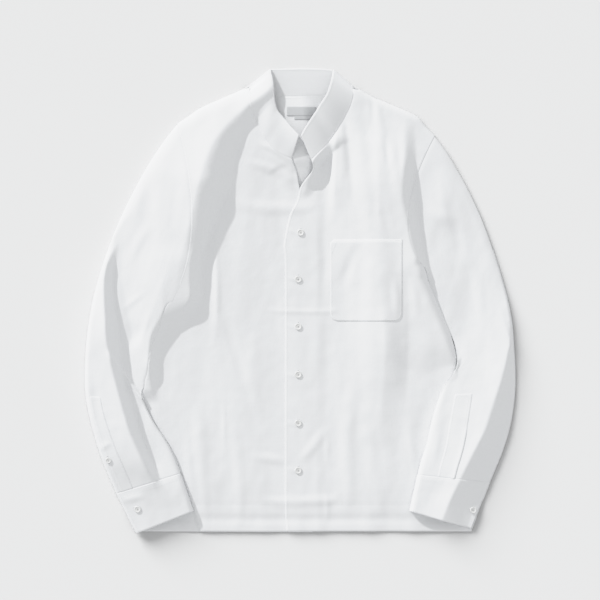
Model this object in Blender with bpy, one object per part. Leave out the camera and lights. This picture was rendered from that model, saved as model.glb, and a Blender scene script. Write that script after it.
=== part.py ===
"""Band-collar linen shirt, buttoned and laid flat on its back with its sleeves bent inwards.

Lengths are in millimetres in the tables below and are turned to metres when a mesh is made.
+X is the wearer's left, +Y runs from the hem to the collar, +Z is up. The origin is on the
surface that the shirt lies on, below the middle of its outline.
"""
import math

import bmesh
import bpy
import numpy as np
from mathutils import Matrix, Vector

MM = 0.001

# Cloth and seams
CLOTH = 1.5            # wall of a panel
BAND = 1.8             # wall of the collar and the cuffs, which are two layers
GAP = 0.3              # free space at a seam
LAY = 0.8              # free space under a sleeve that lies on the body
PATCH_GAP = 1.3        # free space under a patch that follows a curved panel
FRONT_TOP = 2 * CLOTH + GAP     # top of a front that lies flat on the back
LAP = CLOTH + 0.6      # how far the left front is lifted by the right one under it
BLUNT = 7.0            # width over which a folded edge rises, and its share of the height
BLUNT_SHARE = 0.7
BODY_AIR = 5.0         # how high the fronts stand off the back
HEM_AIR = 0.35         # share of that at the hem, and the distance over which it grows
HEM_EASE = 90.0
CENTRE_AIR = 0.45      # share of it along the front edges
SLEEVE_AIR = 8.0       # how high a forearm stands open
SLEEVE_EASE = 0.14     # share of a sleeve's length over which the body's folds fade out
LEAN = 0.5             # slope of the left forearm from its outer edge up to its crest
LEAN_FOOT = 2.0        # height of that slope at the outer edge
LEAN_FROM, LEAN_TO = 0.4, 0.55     # where it starts along the sleeve
CLIMB_START, CLIMB_OVER = 24.0, 18.0    # a sleeve starts to climb this far off the body
DRAWN_IN = 1.3         # how far in, in walls, the inner ring of a tube starts

# Buttons
BUTTON_RADIUS = 5.6
BUTTON_HEIGHT = 2.4
SMALL_BUTTON_RADIUS = 4.6
BUTTON_SEAT = 0.5      # free space under a button

# Outline of the body. Right and left are the wearer's.
SHOULDER = {
    "right": ((-83, 354), (-98, 346), (-131, 332), (-164, 317), (-189, 300), (-202, 292)),
    "left": ((88, 353), (97, 349), (120, 335), (149, 323), (191, 304), (207, 287), (222, 272)),
}
SIDE_SEAM = {          # from the armpit to the hem
    "right": ((-210, 2), (-220, -11), (-228, -28), (-236, -44), (-248, -64), (-260, -92),
              (-268, -122), (-273, -160), (-276, -220), (-273, -300), (-266, -380)),
    "left": ((197, 62), (206, 50), (213, 28), (224, 2), (237, -28), (248, -56), (257, -86),
             (263, -124), (270, -182), (276, -264), (283, -380)),
}
ARMHOLE_BOW = {"right": 57.0, "left": 62.0}      # how far the armhole bends into the body
ARMHOLE_DROP = 34.0    # how far the same bow is drawn down towards the armpit
CHEST_Y = 58.0         # level of the armpits on the front edges
HEM_Y = -380.5
ROW_STEP = 19.0        # longest stretch between two rows of a front at the armhole
ARMPIT_ROWS = 12       # rows of a sleeve's inner edge that bound the body above the armpit

# Front edges, from the hem to the end of the collar
FRONT_EDGE = {
    "right": ((22, -381), (22, -165), (22, 58), (16, 124), (6, 157), (-1, 186), (-6, 211),
              (-13, 231)),
    "left": ((-21, -380), (-24, -330), (-24, -132), (-24, 58), (-26, 91), (-19, 129),
             (-14, 145), (-4, 165), (1, 186), (9, 198), (21, 214), (21, 228)),
}
LAP_FROM, LAP_TO = 26.0, 46.0      # the left front comes down from the lap between these

# Collar: its seam and its upper edge from the centre front to the side, and round the back.
# The third column of the upper edge is its height over the surface.
NECK_SEAM = {
    "right": ((-14, 234), (-31, 241), (-45, 251), (-59, 269), (-68, 289), (-78, 309),
              (-83, 324), (-84, 338), (-82, 355)),
    "left": ((19, 231), (37, 249), (55, 271), (65, 287), (75, 305), (82, 318),
             (86, 330), (88, 340), (87, 353)),
}
COLLAR_EDGE = {
    "right": ((-2, 271, 32), (-14, 284, 27), (-26, 299, 21), (-36, 311, 16), (-40, 322, 13),
              (-42, 333, 12), (-43, 348, 10), (-45, 363, 7), (-49, 381, 5.1)),
    "left": ((2, 271, 31), (9, 284, 31), (18, 298, 31), (26, 310, 30), (34, 323, 28),
             (42, 335, 25), (47, 346, 20), (52, 363, 11), (55, 380, 5.1)),
}
BACK_SEAM = ((-82, 355), (-68, 345), (-49, 339), (-19, 336), (12, 337), (44, 340), (67, 344),
             (87, 353))
BACK_EDGE = ((-49, 381), (-24, 382), (2, 383), (31, 382), (55, 380))
COLLAR_BELLY = {"right": 8.0, "left": 2.0}      # how far the band bulges at the side
COLLAR_SETTLE = 0.3    # share of the band over which its seam comes down to the fold
COLLAR_TURN = 2.1      # radius of the collar where it turns back over itself
NECK_GAP = 1.3         # free space in plan between a sloping collar and the fronts

# Sleeves: stations from the armhole to the cuff. Columns: outer x, y, inner x, y, bow of
# the row towards the body, and how far the sleeve has climbed over the body (0 to 1).
SLEEVE = {
    "right": (
        (-202, 292, -210, 2, 57, 0.0),
        (-222, 267, -222, -7, 42, 0.6),
        (-246, 232, -229, -22, 28, 1.0),
        (-272, 186, -234, -40, 14, 1.0),
        (-297, 135, -240, -55, 5, 1.0),
        (-317, 85, -246, -72, 0, 1.0),
        (-333, 35, -250, -88, 0, 1.0),
        (-344, -12, -252, -104, 0, 1.0),
        (-351, -60, -255, -120, 0, 1.0),
        (-354, -105, -259, -138, 0, 1.0),
        (-354, -145, -260, -156, 0, 1.0),
        (-349, -182, -253, -177, 0, 1.0),
        (-339, -221, -239, -204, 0, 1.0),
        (-328, -257, -222, -229, 0, 1.0),
        (-314, -292, -207, -257, 0, 1.0),
        (-303, -318, -197, -285, 0, 1.0),
    ),
    "left": (
        (222, 272, 197, 62, 62, 0.0),
        (237, 252, 209, 51, 40, 0.0),
        (252, 229, 216, 30, 24, 0.0),
        (278, 182, 226, 5, 12, 0.0),
        (301, 132, 235, -17, 4, 0.0),
        (319, 82, 246, -42, 0, 0.2),
        (334, 33, 257, -66, 0, 0.7),
        (344, -5, 262, -86, 0, 1.0),
        (350, -41, 263, -102, 0, 1.0),
        (353, -82, 250, -122, 0, 1.0),
        (355, -124, 237, -142, 0, 1.0),
        (353, -165, 227, -167, 0, 1.0),
        (346, -208, 217, -201, 0, 1.0),
        (334, -248, 209, -236, 0, 1.0),
        (321, -280, 199, -267, 0, 1.0),
        (313, -299, 194, -287, 0, 1.0),
    ),
}
CUFF_END = {"right": ((-270, -383), (-176, -346)), "left": ((283, -375), (181, -346))}

# Folds, walked from the collar down. Columns: x, y, height, width of the gentle side,
# which is on the right of the walk (-X), width of the steep side, and how round the steep
# side is (0 for a soft step to 1 for a rolled edge; ROLL where it isn't given).
ROLL = 0.3
RIDGE_RIGHT = (
    (-60, 346, 9, 22, 24, 0.3),
    (-80, 328, 16, 28, 28, 0.3),
    (-101, 309, 20, 38, 36, 0.3),
    (-136, 272, 27, 60, 48, 0.3),
    (-158, 223, 32, 110, 52, 0.3),
    (-165, 198, 33, 120, 52, 0.35),
    (-171, 173, 33, 125, 52, 0.4),
    (-180, 120, 31, 130, 48, 0.6),
    (-186, 90, 30, 130, 44, 0.8),
    (-195, 50, 27, 120, 42, 1.0),
    (-207, 15, 24, 105, 48, 1.0),
)
RIDGE_RIGHT_BODY_END = (
    (-212, -15, 20, 40, 46, 1.0),
    (-214, -45, 12, 25, 36, 1.0),
    (-216, -75, 5, 20, 26, 1.0),
)
RIDGE_RIGHT_SLEEVE_END = (
    (-223, -12, 18, 90, 22, 1.0),
    (-238, -40, 14, 70, 20, 1.0),
    (-250, -66, 12, 48, 20, 1.0),
    (-258, -90, 10, 38, 20, 1.0),
    (-263, -115, 8, 34, 20, 1.0),
    (-267, -140, 5, 30, 20, 1.0),
    (-268, -160, 2, 24, 20, 1.0),
)
RIDGE_LEFT = (
    (150, 322, 4, 60, 16),
    (163, 296, 14, 100, 18),
    (170, 268, 22, 140, 18),
    (170, 238, 26, 165, 20),
    (166, 205, 28, 170, 22),
    (165, 173, 28, 170, 22),
    (172, 136, 27, 165, 22),
    (180, 95, 25, 150, 22),
    (192, 58, 22, 130, 20),
    (211, 14, 19, 110, 18),
    (229, -32, 17, 95, 18),
    (245, -72, 14, 80, 18),
    (256, -104, 8, 60, 16),
)
RIDGE_CHEST = (
    (126, 300, 2, 30, 30),
    (128, 220, 6, 44, 36),
    (128, 110, 10, 52, 40),
    (129, 20, 14, 56, 42),
    (130, -60, 15, 56, 42),
    (130, -110, 12, 52, 40),
    (129, -150, 6, 48, 38),
    (128, -200, 3, 40, 36),
)
RIDGE_NECK_RIGHT = (
    (-82, 344, 2, 20, 20),
    (-80, 322, 4, 26, 30),
    (-67, 288, 4, 34, 30),
    (-45, 254, 8, 44, 30),
    (-16, 233, 12, 44, 30),
    (-10, 208, 5, 30, 26),
)
RIDGE_NECK_LEFT = (
    (88, 342, 4, 30, 22),
    (85, 325, 9, 30, 30),
    (70, 295, 8, 30, 32),
    (54, 271, 7, 30, 22),
    (37, 250, 12, 30, 18),
    (20, 231, 16, 30, 18),
    (15, 208, 5, 26, 18),
)
ELBOW_RIGHT = (
    (-318, 120, 1, 24, 18),
    (-322, 85, 9, 30, 22),
    (-323, 50, 14, 34, 24),
    (-322, 0, 19, 40, 30),
    (-320, -40, 24, 44, 36),
    (-316, -74, 22, 44, 34),
    (-309, -102, 20, 50, 32),
    (-292, -165, 20, 60, 32),
    (-279, -207, 20, 66, 32),
    (-266, -246, 19, 70, 32),
    (-250, -280, 16, 70, 32),
    (-236, -306, 11, 66, 30),
    (-227, -330, 7, 60, 28),
    (-219, -355, 4, 50, 24),
)
ELBOW_LEFT = (
    (336, 3, 3, 14, 22),
    (314, -20, 9, 18, 32),
    (290, -58, 12, 20, 40),
    (257, -109, 12, 20, 44),
    (238, -134, 9, 16, 40),
    (228, -160, 4, 12, 30),
)
FOREARM_LEFT = (
    (350, -50, 1, 50, 60),
    (343, -84, 3, 70, 60),
    (334, -116, 6, 84, 60),
    (324, -148, 9, 92, 60),
    (306, -198, 13, 92, 70),
    (285, -251, 16, 84, 80),
    (262, -297, 18, 76, 90),
    (252, -314, 18, 72, 90),
    (233, -361, 16, 66, 90),
)
NECK_FOLDS = (RIDGE_NECK_RIGHT, RIDGE_NECK_LEFT)
BODY_FOLDS = (RIDGE_RIGHT + RIDGE_RIGHT_BODY_END, RIDGE_LEFT, RIDGE_CHEST) + NECK_FOLDS
SLEEVE_FOLDS = {
    "right": (RIDGE_RIGHT + RIDGE_RIGHT_SLEEVE_END, ELBOW_RIGHT),
    "left": (RIDGE_LEFT[:9] + ((200, 30, 8, 60, 18),), ELBOW_LEFT, FOREARM_LEFT),
}

# Pocket on the left front
POCKET_LEFT, POCKET_RIGHT = 50.0, 168.0
POCKET_TOP, POCKET_BOTTOM = 100.0, -34.0
POCKET_NOTCH = 6.0     # the slanted upper corner by the placket
POCKET_CORNER = 22.0   # radius of the lower corners
POCKET_WALL = 1.2

# Sleeve columns, as fractions from the outer to the inner edge, and which columns and
# how many rows of the sleeve the plackets cover
ACROSS = (0.0, 0.035, 0.09, 0.17, 0.27, 0.38, 0.5, 0.62, 0.73, 0.83, 0.91, 0.965, 1.0)
PLACKET_COLUMNS = {"right": (2, 4), "left": (6, 8)}
PLACKET_ROWS = 7
PLACKET_WALL = 1.2

# Neck label and the small tab under it
LABEL = ((-21, 319), (26, 319), (26, 304), (-21, 304))
SIZE_TAB = ((-9, 303.4), (20, 303.4), (20, 298), (-9, 298))
LABEL_WALL = 0.7

FRONT_BUTTONS = ((1, 112), (-3, 35), (-3, -43), (-3, -122), (-3, -202), (-3, -280))
CUFF_BUTTONS = {"right": (-267, -343), "left": (285, -345)}
SLEEVE_BUTTON = (-314, -262)

COLOURS = {
    "linen": (0.86, 0.87, 0.88),
    "satin": (0.62, 0.63, 0.64),
    "shell": (0.88, 0.88, 0.87),
}


# --- Lines and folds ---------------------------------------------------------------------

def smooth(t):
    """0 to 1 with flat ends."""
    t = np.clip(t, 0.0, 1.0)
    return t * t * (3.0 - 2.0 * t)


def curve(rows, count):
    """Count rows, evenly spaced in plan, on a smooth line through the given rows."""
    p = np.array(rows, float)
    q = np.vstack([2 * p[0] - p[1], p, 2 * p[-1] - p[-2]])
    t = np.linspace(0.0, 1.0, 17)[:, None]
    parts = []
    for a, b, c, d in zip(q, q[1:], q[2:], q[3:]):
        parts.append(0.5 * (2 * b + (c - a) * t + (2 * a - 5 * b + 4 * c - d) * t ** 2
                            + (3 * b - a - 3 * c + d) * t ** 3))
    dense = np.vstack(parts)
    steps = np.hypot(np.diff(dense[:, 0]), np.diff(dense[:, 1]))
    along = np.r_[0.0, np.cumsum(steps)]
    where = np.linspace(0.0, along[-1], count)
    return np.stack([np.interp(where, along, column) for column in dense.T], axis=1)


def spread(line, where):
    """Points of a line at fractions of its length in plan."""
    steps = np.hypot(np.diff(line[:, 0]), np.diff(line[:, 1]))
    along = np.r_[0.0, np.cumsum(steps)]
    return np.stack([np.interp(np.asarray(where) * along[-1], along, c) for c in line.T], axis=1)


def halved(line, longest):
    """The same line with a point added in the middle of each stretch over that length."""
    points = [line[0]]
    for a, b in zip(line, line[1:]):
        if np.hypot(*(b - a)[:2]) > longest:
            points.append((a + b) / 2)
        points.append(b)
    return np.array(points)


def fractions(line):
    """How far along the line each of its points is, from 0 to 1."""
    steps = np.hypot(np.diff(line[:, 0]), np.diff(line[:, 1]))
    return np.r_[0.0, np.cumsum(steps)] / steps.sum()


def shifted(line, distance):
    """A plan line moved sideways, to its left for a positive distance."""
    run = np.gradient(line[:, :2], axis=0)
    side = np.stack([-run[:, 1], run[:, 0]], axis=1)
    return line[:, :2] + distance * side / np.linalg.norm(side, axis=1)[:, None]


def nearest(x, y, line):
    """Distance to a line, the line's columns at the nearest point, and on which side."""
    a, b = line[:-1], line[1:]
    run = b[:, :2] - a[:, :2]
    px, py = x[..., None] - a[:, 0], y[..., None] - a[:, 1]
    t = np.clip((px * run[:, 0] + py * run[:, 1]) / (run ** 2).sum(1), 0.0, 1.0)
    away = np.hypot(px - t * run[:, 0], py - t * run[:, 1])
    k = away.argmin(-1)[..., None]
    t = np.take_along_axis(t, k, -1)
    cross = run[:, 0] * py - run[:, 1] * px
    columns = a[k[..., 0]] + (b - a)[k[..., 0]] * t
    distance = np.take_along_axis(away, k, -1)[..., 0]
    return distance, columns, np.take_along_axis(cross, k, -1)[..., 0]


def fold(x, y, rows):
    """Height of one ridge: a slope on its gentle side and a rounded drop on its steep one."""
    distance, at, side = nearest(x, y, curve(rows, 12 * len(rows)))
    steep = side > 0
    reach = np.where(steep, at[..., 4], at[..., 3])
    roll = at[..., 5] if at.shape[-1] > 5 else ROLL
    s = np.clip(distance / reach, 0.0, 1.0)
    gentle_form = (1.0 - s) ** 1.25
    steep_form = (1.0 - roll) * 0.5 * (1.0 + np.cos(math.pi * s)) + roll * np.sqrt(1.0 - s * s)
    return at[..., 2] * np.where(steep, steep_form, gentle_form)


def folds(x, y, tables):
    return sum(fold(x, y, rows) for rows in tables)


def blunt(x, y, lines, height):
    """The height, brought down to 0 on the given edges by a rounded slope."""
    away = np.min([nearest(x, y, line)[0] for line in lines], axis=0)
    s = np.clip(away / (BLUNT + BLUNT_SHARE * np.abs(height)), 0.0, 1.0)
    return height * np.sqrt(1.0 - (1.0 - s) ** 2)


# --- Heights -----------------------------------------------------------------------------

def sleeve_rows(side, count=60):
    rows = curve(SLEEVE[side], count)
    rows[:, 5] = np.clip(rows[:, 5], 0.0, 1.0)
    return rows


def body_edges(side):
    """The shoulder with the start of the sleeve's outer edge, and the side seam."""
    rows = sleeve_rows(side)
    outer = np.vstack([curve(SHOULDER[side], 30), rows[1:, :2]])
    inner = np.vstack([rows[ARMPIT_ROWS:0:-1, 2:4], curve(SIDE_SEAM[side], 60)])
    return outer, inner


def sleeve_edges(side):
    """The outer and inner edges of a sleeve and its cuff."""
    rows = sleeve_rows(side)
    outer_end, inner_end = CUFF_END[side]
    outer = np.vstack([curve(SHOULDER[side], 30), rows[1:, :2], outer_end])
    inner = np.vstack([rows[:, 2:4], inner_end])
    return outer, inner


EDGES = {side: (body_edges(side), sleeve_edges(side)) for side in ("right", "left")}


def body_height(x, y):
    """Height of the fronts over the flat lying cloth, away from their edges."""
    hem = HEM_AIR + (1.0 - HEM_AIR) * smooth((y - HEM_Y) / HEM_EASE)
    centre = CENTRE_AIR + (1.0 - CENTRE_AIR) * smooth((np.abs(x) - 30.0) / 60.0)
    return BODY_AIR * hem * centre + folds(x, y, BODY_FOLDS)


def body_relief(x, y):
    """The same height brought down to nothing at the folded and sewn edges."""
    return blunt(x, y, EDGES["right"][0] + EDGES["left"][0], body_height(x, y))


def inside(x, y, side):
    """Distance inside the body's side seam, negative outside it."""
    distance, _, cross = nearest(x, y, EDGES[side][0][1][ARMPIT_ROWS:])
    return np.where((cross > 0) == (side == "right"), distance, -distance)


def front_top(x, y):
    return FRONT_TOP + body_relief(x, y)


def sleeve_floor(x, y, side, climb):
    """Underside of a sleeve: the surface, or the front that it lies on."""
    over = smooth((inside(x, y, side) + CLIMB_START) / CLIMB_OVER)
    return climb * over * (FRONT_TOP + LAY + body_height(x, y))


def sleeve_relief(x, y, side, along):
    """Relief of a sleeve, which starts as the body's at the armhole."""
    own = SLEEVE_AIR + folds(x, y, SLEEVE_FOLDS[side])
    if side == "left":
        leaning = LEAN_FOOT + LEAN * nearest(x, y, EDGES[side][1][0])[0]
        start = smooth((along - LEAN_FROM) / (LEAN_TO - LEAN_FROM))
        own += start * (np.minimum(own, leaning) - own)
    own = blunt(x, y, EDGES[side][1], own)
    share = smooth(along / SLEEVE_EASE)
    return (1.0 - share) * body_relief(x, y) + share * own


def lapped(x, y):
    """Lift of the left front where the right one lies under it."""
    return LAP * (1.0 - smooth((x - LAP_FROM) / (LAP_TO - LAP_FROM)))


def left_front_top(x, y):
    return front_top(x, y) + lapped(x, y)


# --- Meshes ------------------------------------------------------------------------------

def material(name):
    made = bpy.data.materials.new(name)
    made.use_nodes = True
    shader = made.node_tree.nodes["Principled BSDF"]
    kind = name.split("_")[0]
    shader.inputs["Base Color"].default_value = (*COLOURS[kind], 1.0)
    shader.inputs["Roughness"].default_value = {"linen": 0.9, "satin": 0.5, "shell": 0.3}[kind]
    shader.inputs["Metallic"].default_value = 0.0
    return made


def add_object(name, mesh, kind):
    mesh.materials.append(material(kind + "_" + name))
    mesh.shade_smooth()
    mesh.set_sharp_from_angle(angle=math.radians(50))
    made = bpy.data.objects.new(name, mesh)
    bpy.context.scene.collection.objects.link(made)
    return made


def wall(name, outer, inner, closed=False, kind="linen"):
    """A wall of cloth between two grids of points, whose columns may close into a tube."""
    rows, columns = outer.shape[:2]
    half = rows * columns
    faces = []

    def two(a, b, c, d):
        faces.append((a, b, c))
        faces.append((a, c, d))

    last = (rows - 1) * columns
    for j in range(columns if closed else columns - 1):
        k = (j + 1) % columns
        under = closed and j >= columns // 2
        for i in range(rows - 1):
            a, b = i * columns + j, i * columns + k
            c, d = b + columns, a + columns
            if under:           # the two layers of a tube keep the same diagonals
                a, b, c, d = b, c, d, a
            two(a, b, c, d)
            two(half + a, half + d, half + c, half + b)
        two(k, j, half + j, half + k)
        two(last + j, last + k, half + last + k, half + last + j)
    if not closed:
        for i in range(rows - 1):
            a, d = i * columns, (i + 1) * columns
            two(a, d, half + d, half + a)
            b, c = a + columns - 1, d + columns - 1
            two(c, b, half + b, half + c)
    points = np.vstack([outer.reshape(-1, 3), inner.reshape(-1, 3)]) * MM
    mesh = bpy.data.meshes.new(name)
    mesh.from_pydata(points.tolist(), [], faces)
    work = bmesh.new()
    work.from_mesh(mesh)
    bmesh.ops.recalc_face_normals(work, faces=work.faces)
    work.to_mesh(mesh)
    work.free()
    return add_object(name, mesh, kind)


def flat_plate(name, outline, low, high, kind="linen"):
    """A flat piece of cloth cut to an outline."""
    mesh = bpy.data.meshes.new(name)
    work = bmesh.new()
    corners = [work.verts.new((x * MM, y * MM, low * MM)) for x, y in outline]
    face = work.faces.new(corners)
    raised = bmesh.ops.extrude_face_region(work, geom=[face])
    top = [v for v in raised["geom"] if isinstance(v, bmesh.types.BMVert)]
    bmesh.ops.translate(work, verts=top, vec=(0.0, 0.0, (high - low) * MM))
    bmesh.ops.triangulate(work, faces=work.faces)
    bmesh.ops.recalc_face_normals(work, faces=work.faces)
    work.to_mesh(mesh)
    work.free()
    return add_object(name, mesh, kind)


def between(first, second, across):
    """Grid of plan points on straight rows between two lines."""
    u = np.asarray(across)[None, :, None]
    return first[:, None, :2] * (1.0 - u) + second[:, None, :2] * u


def lay(plan, top_of, thickness=CLOTH):
    """Upper and lower points of cloth that follows a height."""
    x, y = plan[..., 0], plan[..., 1]
    top = top_of(x, y)
    return np.stack([x, y, top], -1), np.stack([x, y, top - thickness], -1)


# --- Pieces ------------------------------------------------------------------------------

def armhole(side):
    """The armhole in plan, from the armpit to the shoulder, at the sleeve's own columns."""
    top = np.array(SLEEVE[side][0][:2], float)
    low = np.array(SLEEVE[side][0][2:4], float)
    inward = 1.0 if side == "right" else -1.0
    control = (top + low) / 2 + np.array([inward * ARMHOLE_BOW[side], -ARMHOLE_DROP])
    t = 1.0 - np.array(ACROSS[::-1])[:, None]
    return low * (1 - t) ** 2 + 2 * control * t * (1 - t) + top * t ** 2


def make_back():
    """The back with both shoulders, the one panel that lies on the surface."""
    neck = shifted(curve(BACK_SEAM, 20), -GAP)[1:-1]
    outline = np.vstack([
        curve(SIDE_SEAM["right"], 18)[::-1],
        armhole("right")[1:-1],
        curve(SHOULDER["right"], 8)[::-1][:-1],
        neck,
        curve(SHOULDER["left"], 8)[1:],
        armhole("left")[::-1][1:-1],
        curve(SIDE_SEAM["left"], 18),
    ])
    return flat_plate("back", outline, 0.0, CLOTH)


def make_front(side):
    """One front from the hem to the shoulder, cut to the armhole and the neck."""
    arm = halved(armhole(side), ROW_STEP)
    low, high = np.linspace(0, 1, 17), fractions(arm)
    seam = spread(curve(SIDE_SEAM[side], 80)[::-1], low)
    edge = curve(FRONT_EDGE[side], 160)
    chest = np.searchsorted(edge[:, 1], CHEST_Y)
    sign = 1.0 if side == "right" else -1.0
    neck = shifted(curve(NECK_SEAM[side], 60), sign * NECK_GAP)[:-2]
    upper = np.vstack([edge[chest:-2], neck])
    outer = np.vstack([seam, arm[1:]])
    centre = np.vstack([spread(edge[:chest + 1], low), spread(upper, high)[1:]])
    across = np.r_[0.0, 0.018, 0.045, np.linspace(0.09, 1.0, 18)]
    plan = between(outer, centre, across)
    bend = spread(curve(SHOULDER[side], 60)[::-1], across) - plan[-1]
    bend *= smooth((1.0 - across) / 0.12)[:, None]
    share = np.r_[np.zeros(len(low)), high[1:] ** 4]
    plan += share[:, None, None] * bend
    top_of = front_top if side == "right" else left_front_top
    return wall("front_" + side, *lay(plan, top_of))


def sleeve_plan(side, rows, across):
    """Plan points of the rows of a sleeve, bowed towards the body near the armhole."""
    u = np.asarray(across)[None, :]
    plan = between(rows[:, :2], rows[:, 2:4], across)
    inward = 1.0 if side == "right" else -1.0
    bow = rows[:, 4:5] * 2 * u * (1 - u)
    plan[..., 0] += inward * bow
    plan[..., 1] -= ARMHOLE_DROP / ARMHOLE_BOW[side] * bow
    return plan


def drawn_in(layer, distance):
    """A layer of points with its first and last columns moved in along the layer."""
    moved = layer.copy()
    for end, following in ((0, 1), (-1, -2)):
        step = layer[:, following] - layer[:, end]
        moved[:, end] += step * (distance / np.hypot(step[:, 0], step[:, 1]))[:, None]
    return moved


def tube(side, plan, climb, along, thickness):
    """Outer and inner rings of a flattened tube: over the top and back underneath."""
    x, y = plan[..., 0], plan[..., 1]
    floor = sleeve_floor(x, y, side, climb)
    rise = 2 * thickness + GAP + sleeve_relief(x, y, side, along)
    low = np.stack([x, y, floor], -1)
    top = np.stack([x, y, floor + rise], -1)
    wall_up = np.array([0.0, 0.0, thickness])
    low_in = drawn_in(low, DRAWN_IN * thickness) + wall_up
    top_in = drawn_in(top, DRAWN_IN * thickness) - wall_up
    outer = np.concatenate([top, low[:, ::-1]], axis=1)
    inner = np.concatenate([top_in, low_in[:, ::-1]], axis=1)
    return outer, inner


def tube_wall(name, side, rows, along, thickness):
    plan = sleeve_plan(side, rows, ACROSS)
    outer, inner = tube(side, plan, rows[:, 5:6], along[:, None], thickness)
    wall(name, outer, inner, closed=True)
    return outer[:, :len(ACROSS)]


def make_sleeve(side):
    """A sleeve as an open tube from the armhole to the cuff seam."""
    rows = sleeve_rows(side, 34)
    along = np.linspace(0.0, 1.0, len(rows))
    away = -1.0 if side == "right" else 1.0
    rows[0, [0, 2]] += away * 1.5 * GAP
    rows[0, 3] -= 1.5 * GAP
    top = tube_wall("sleeve_" + side, side, rows, along, CLOTH)
    make_sleeve_placket(side, top)


def make_cuff(side):
    """The cuff: a band of doubled cloth round the end of the sleeve."""
    end = np.array(SLEEVE[side][-1], float)
    (ox, oy), (ix, iy) = CUFF_END[side]
    last = np.array([ox, oy, ix, iy, 0.0, 1.0])
    length = np.hypot(*(last[:2] - end[:2]))
    t = np.linspace(GAP / length, 1.0, 6)[:, None]
    rows = end * (1 - t) + last * t
    return tube_wall("cuff_" + side, side, rows, np.ones(len(rows)), BAND)


def collar_strip():
    """Seam and upper edge of the collar along its length. The last column is its belly."""
    def front(side):
        seam = curve(NECK_SEAM[side], 16)
        edge = curve(COLLAR_EDGE[side], 16)
        t = np.linspace(0.0, 1.0, 16)
        low = front_top(seam[:, 0], seam[:, 1]) - CLOTH / 2
        turned = BAND / 2 + 2 * COLLAR_TURN
        settle = smooth((1.0 - t) / COLLAR_SETTLE)
        low = np.maximum(turned + (low - turned) * settle, turned)
        belly = COLLAR_BELLY[side] * np.sin(math.pi * t) ** 2
        return np.c_[seam, low, belly], np.c_[edge, belly]

    def turn(seam, edge):
        """The folded side, from its upper layer round to its lower one."""
        run = edge - seam
        outward = np.array([-run[1], run[0]]) / np.hypot(*run)
        if np.dot(outward, seam) < 0:
            outward = -outward
        pairs = []
        for angle in np.radians((60, 30, 0, -30, -60)):
            push = outward * COLLAR_TURN * (math.cos(angle) - 1.0)
            z = BAND / 2 + COLLAR_TURN * (1 + math.sin(angle))
            pairs.append((np.r_[seam + push, z, 0.0], np.r_[edge + push, z, 0.0]))
        return pairs

    right, left = front("right"), front("left")
    back_seam, back_edge = curve(BACK_SEAM, 12), curve(BACK_EDGE, 12)
    flat = np.tile((BAND / 2, 0.0), (12, 1))
    stations = list(zip(*right))[:-1]
    stations += turn(back_seam[0], back_edge[0])
    stations += list(zip(np.c_[back_seam, flat], np.c_[back_edge, flat]))[1:-1]
    stations += turn(back_seam[-1], back_edge[-1])[::-1]
    stations += list(zip(*left))[:-1][::-1]
    return np.array([s for s, _ in stations]), np.array([e for _, e in stations])


def make_collar():
    """The band collar: one strip round the neck, folded over at both sides."""
    seam, edge = collar_strip()
    t = np.linspace(0.0, 1.0, 5)[None, :, None]
    middle = seam[:, None] * (1 - t) + edge[:, None] * t
    middle[..., 2] += middle[..., 3] * 4 * (t * (1 - t))[..., 0]
    middle = middle[..., :3]
    run, rise = np.gradient(middle, axis=(0, 1))
    normal = np.cross(run, rise)
    normal /= np.linalg.norm(normal, axis=2)[..., None]
    return wall("collar", middle + normal * BAND / 2, middle - normal * BAND / 2)


def make_pocket():
    """The patch pocket, sewn on three sides, with rounded lower corners."""
    depth = np.array((0.0, POCKET_NOTCH, 20, 40, 62, 84, 100, 112, 120, 127, 132, 134))
    y = POCKET_TOP - depth
    drop = np.clip(POCKET_CORNER - (y - POCKET_BOTTOM), 0.0, POCKET_CORNER)
    corner = POCKET_CORNER - np.sqrt(POCKET_CORNER ** 2 - drop ** 2)
    notch = np.clip(POCKET_NOTCH - depth, 0.0, None)
    left = np.stack([POCKET_LEFT + 0.9 * corner + notch, y], 1)
    right = np.stack([POCKET_RIGHT - 0.9 * corner, y], 1)
    lift = PATCH_GAP + POCKET_WALL

    def top_of(x, y):
        return left_front_top(x, y) + lift
    plan = between(left, right, np.linspace(0, 1, 16))
    return wall("pocket", *lay(plan, top_of, POCKET_WALL))


def make_sleeve_placket(side, sleeve_top):
    """The strip sewn on a sleeve beside its slit: the sleeve's own points, moved out."""
    first, last = PLACKET_COLUMNS[side]
    strip = sleeve_top[-PLACKET_ROWS:, first:last + 1] + np.array([0.0, 0.0, GAP])
    return wall("sleeve_placket_" + side, strip + np.array([0.0, 0.0, PLACKET_WALL]), strip)


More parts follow.
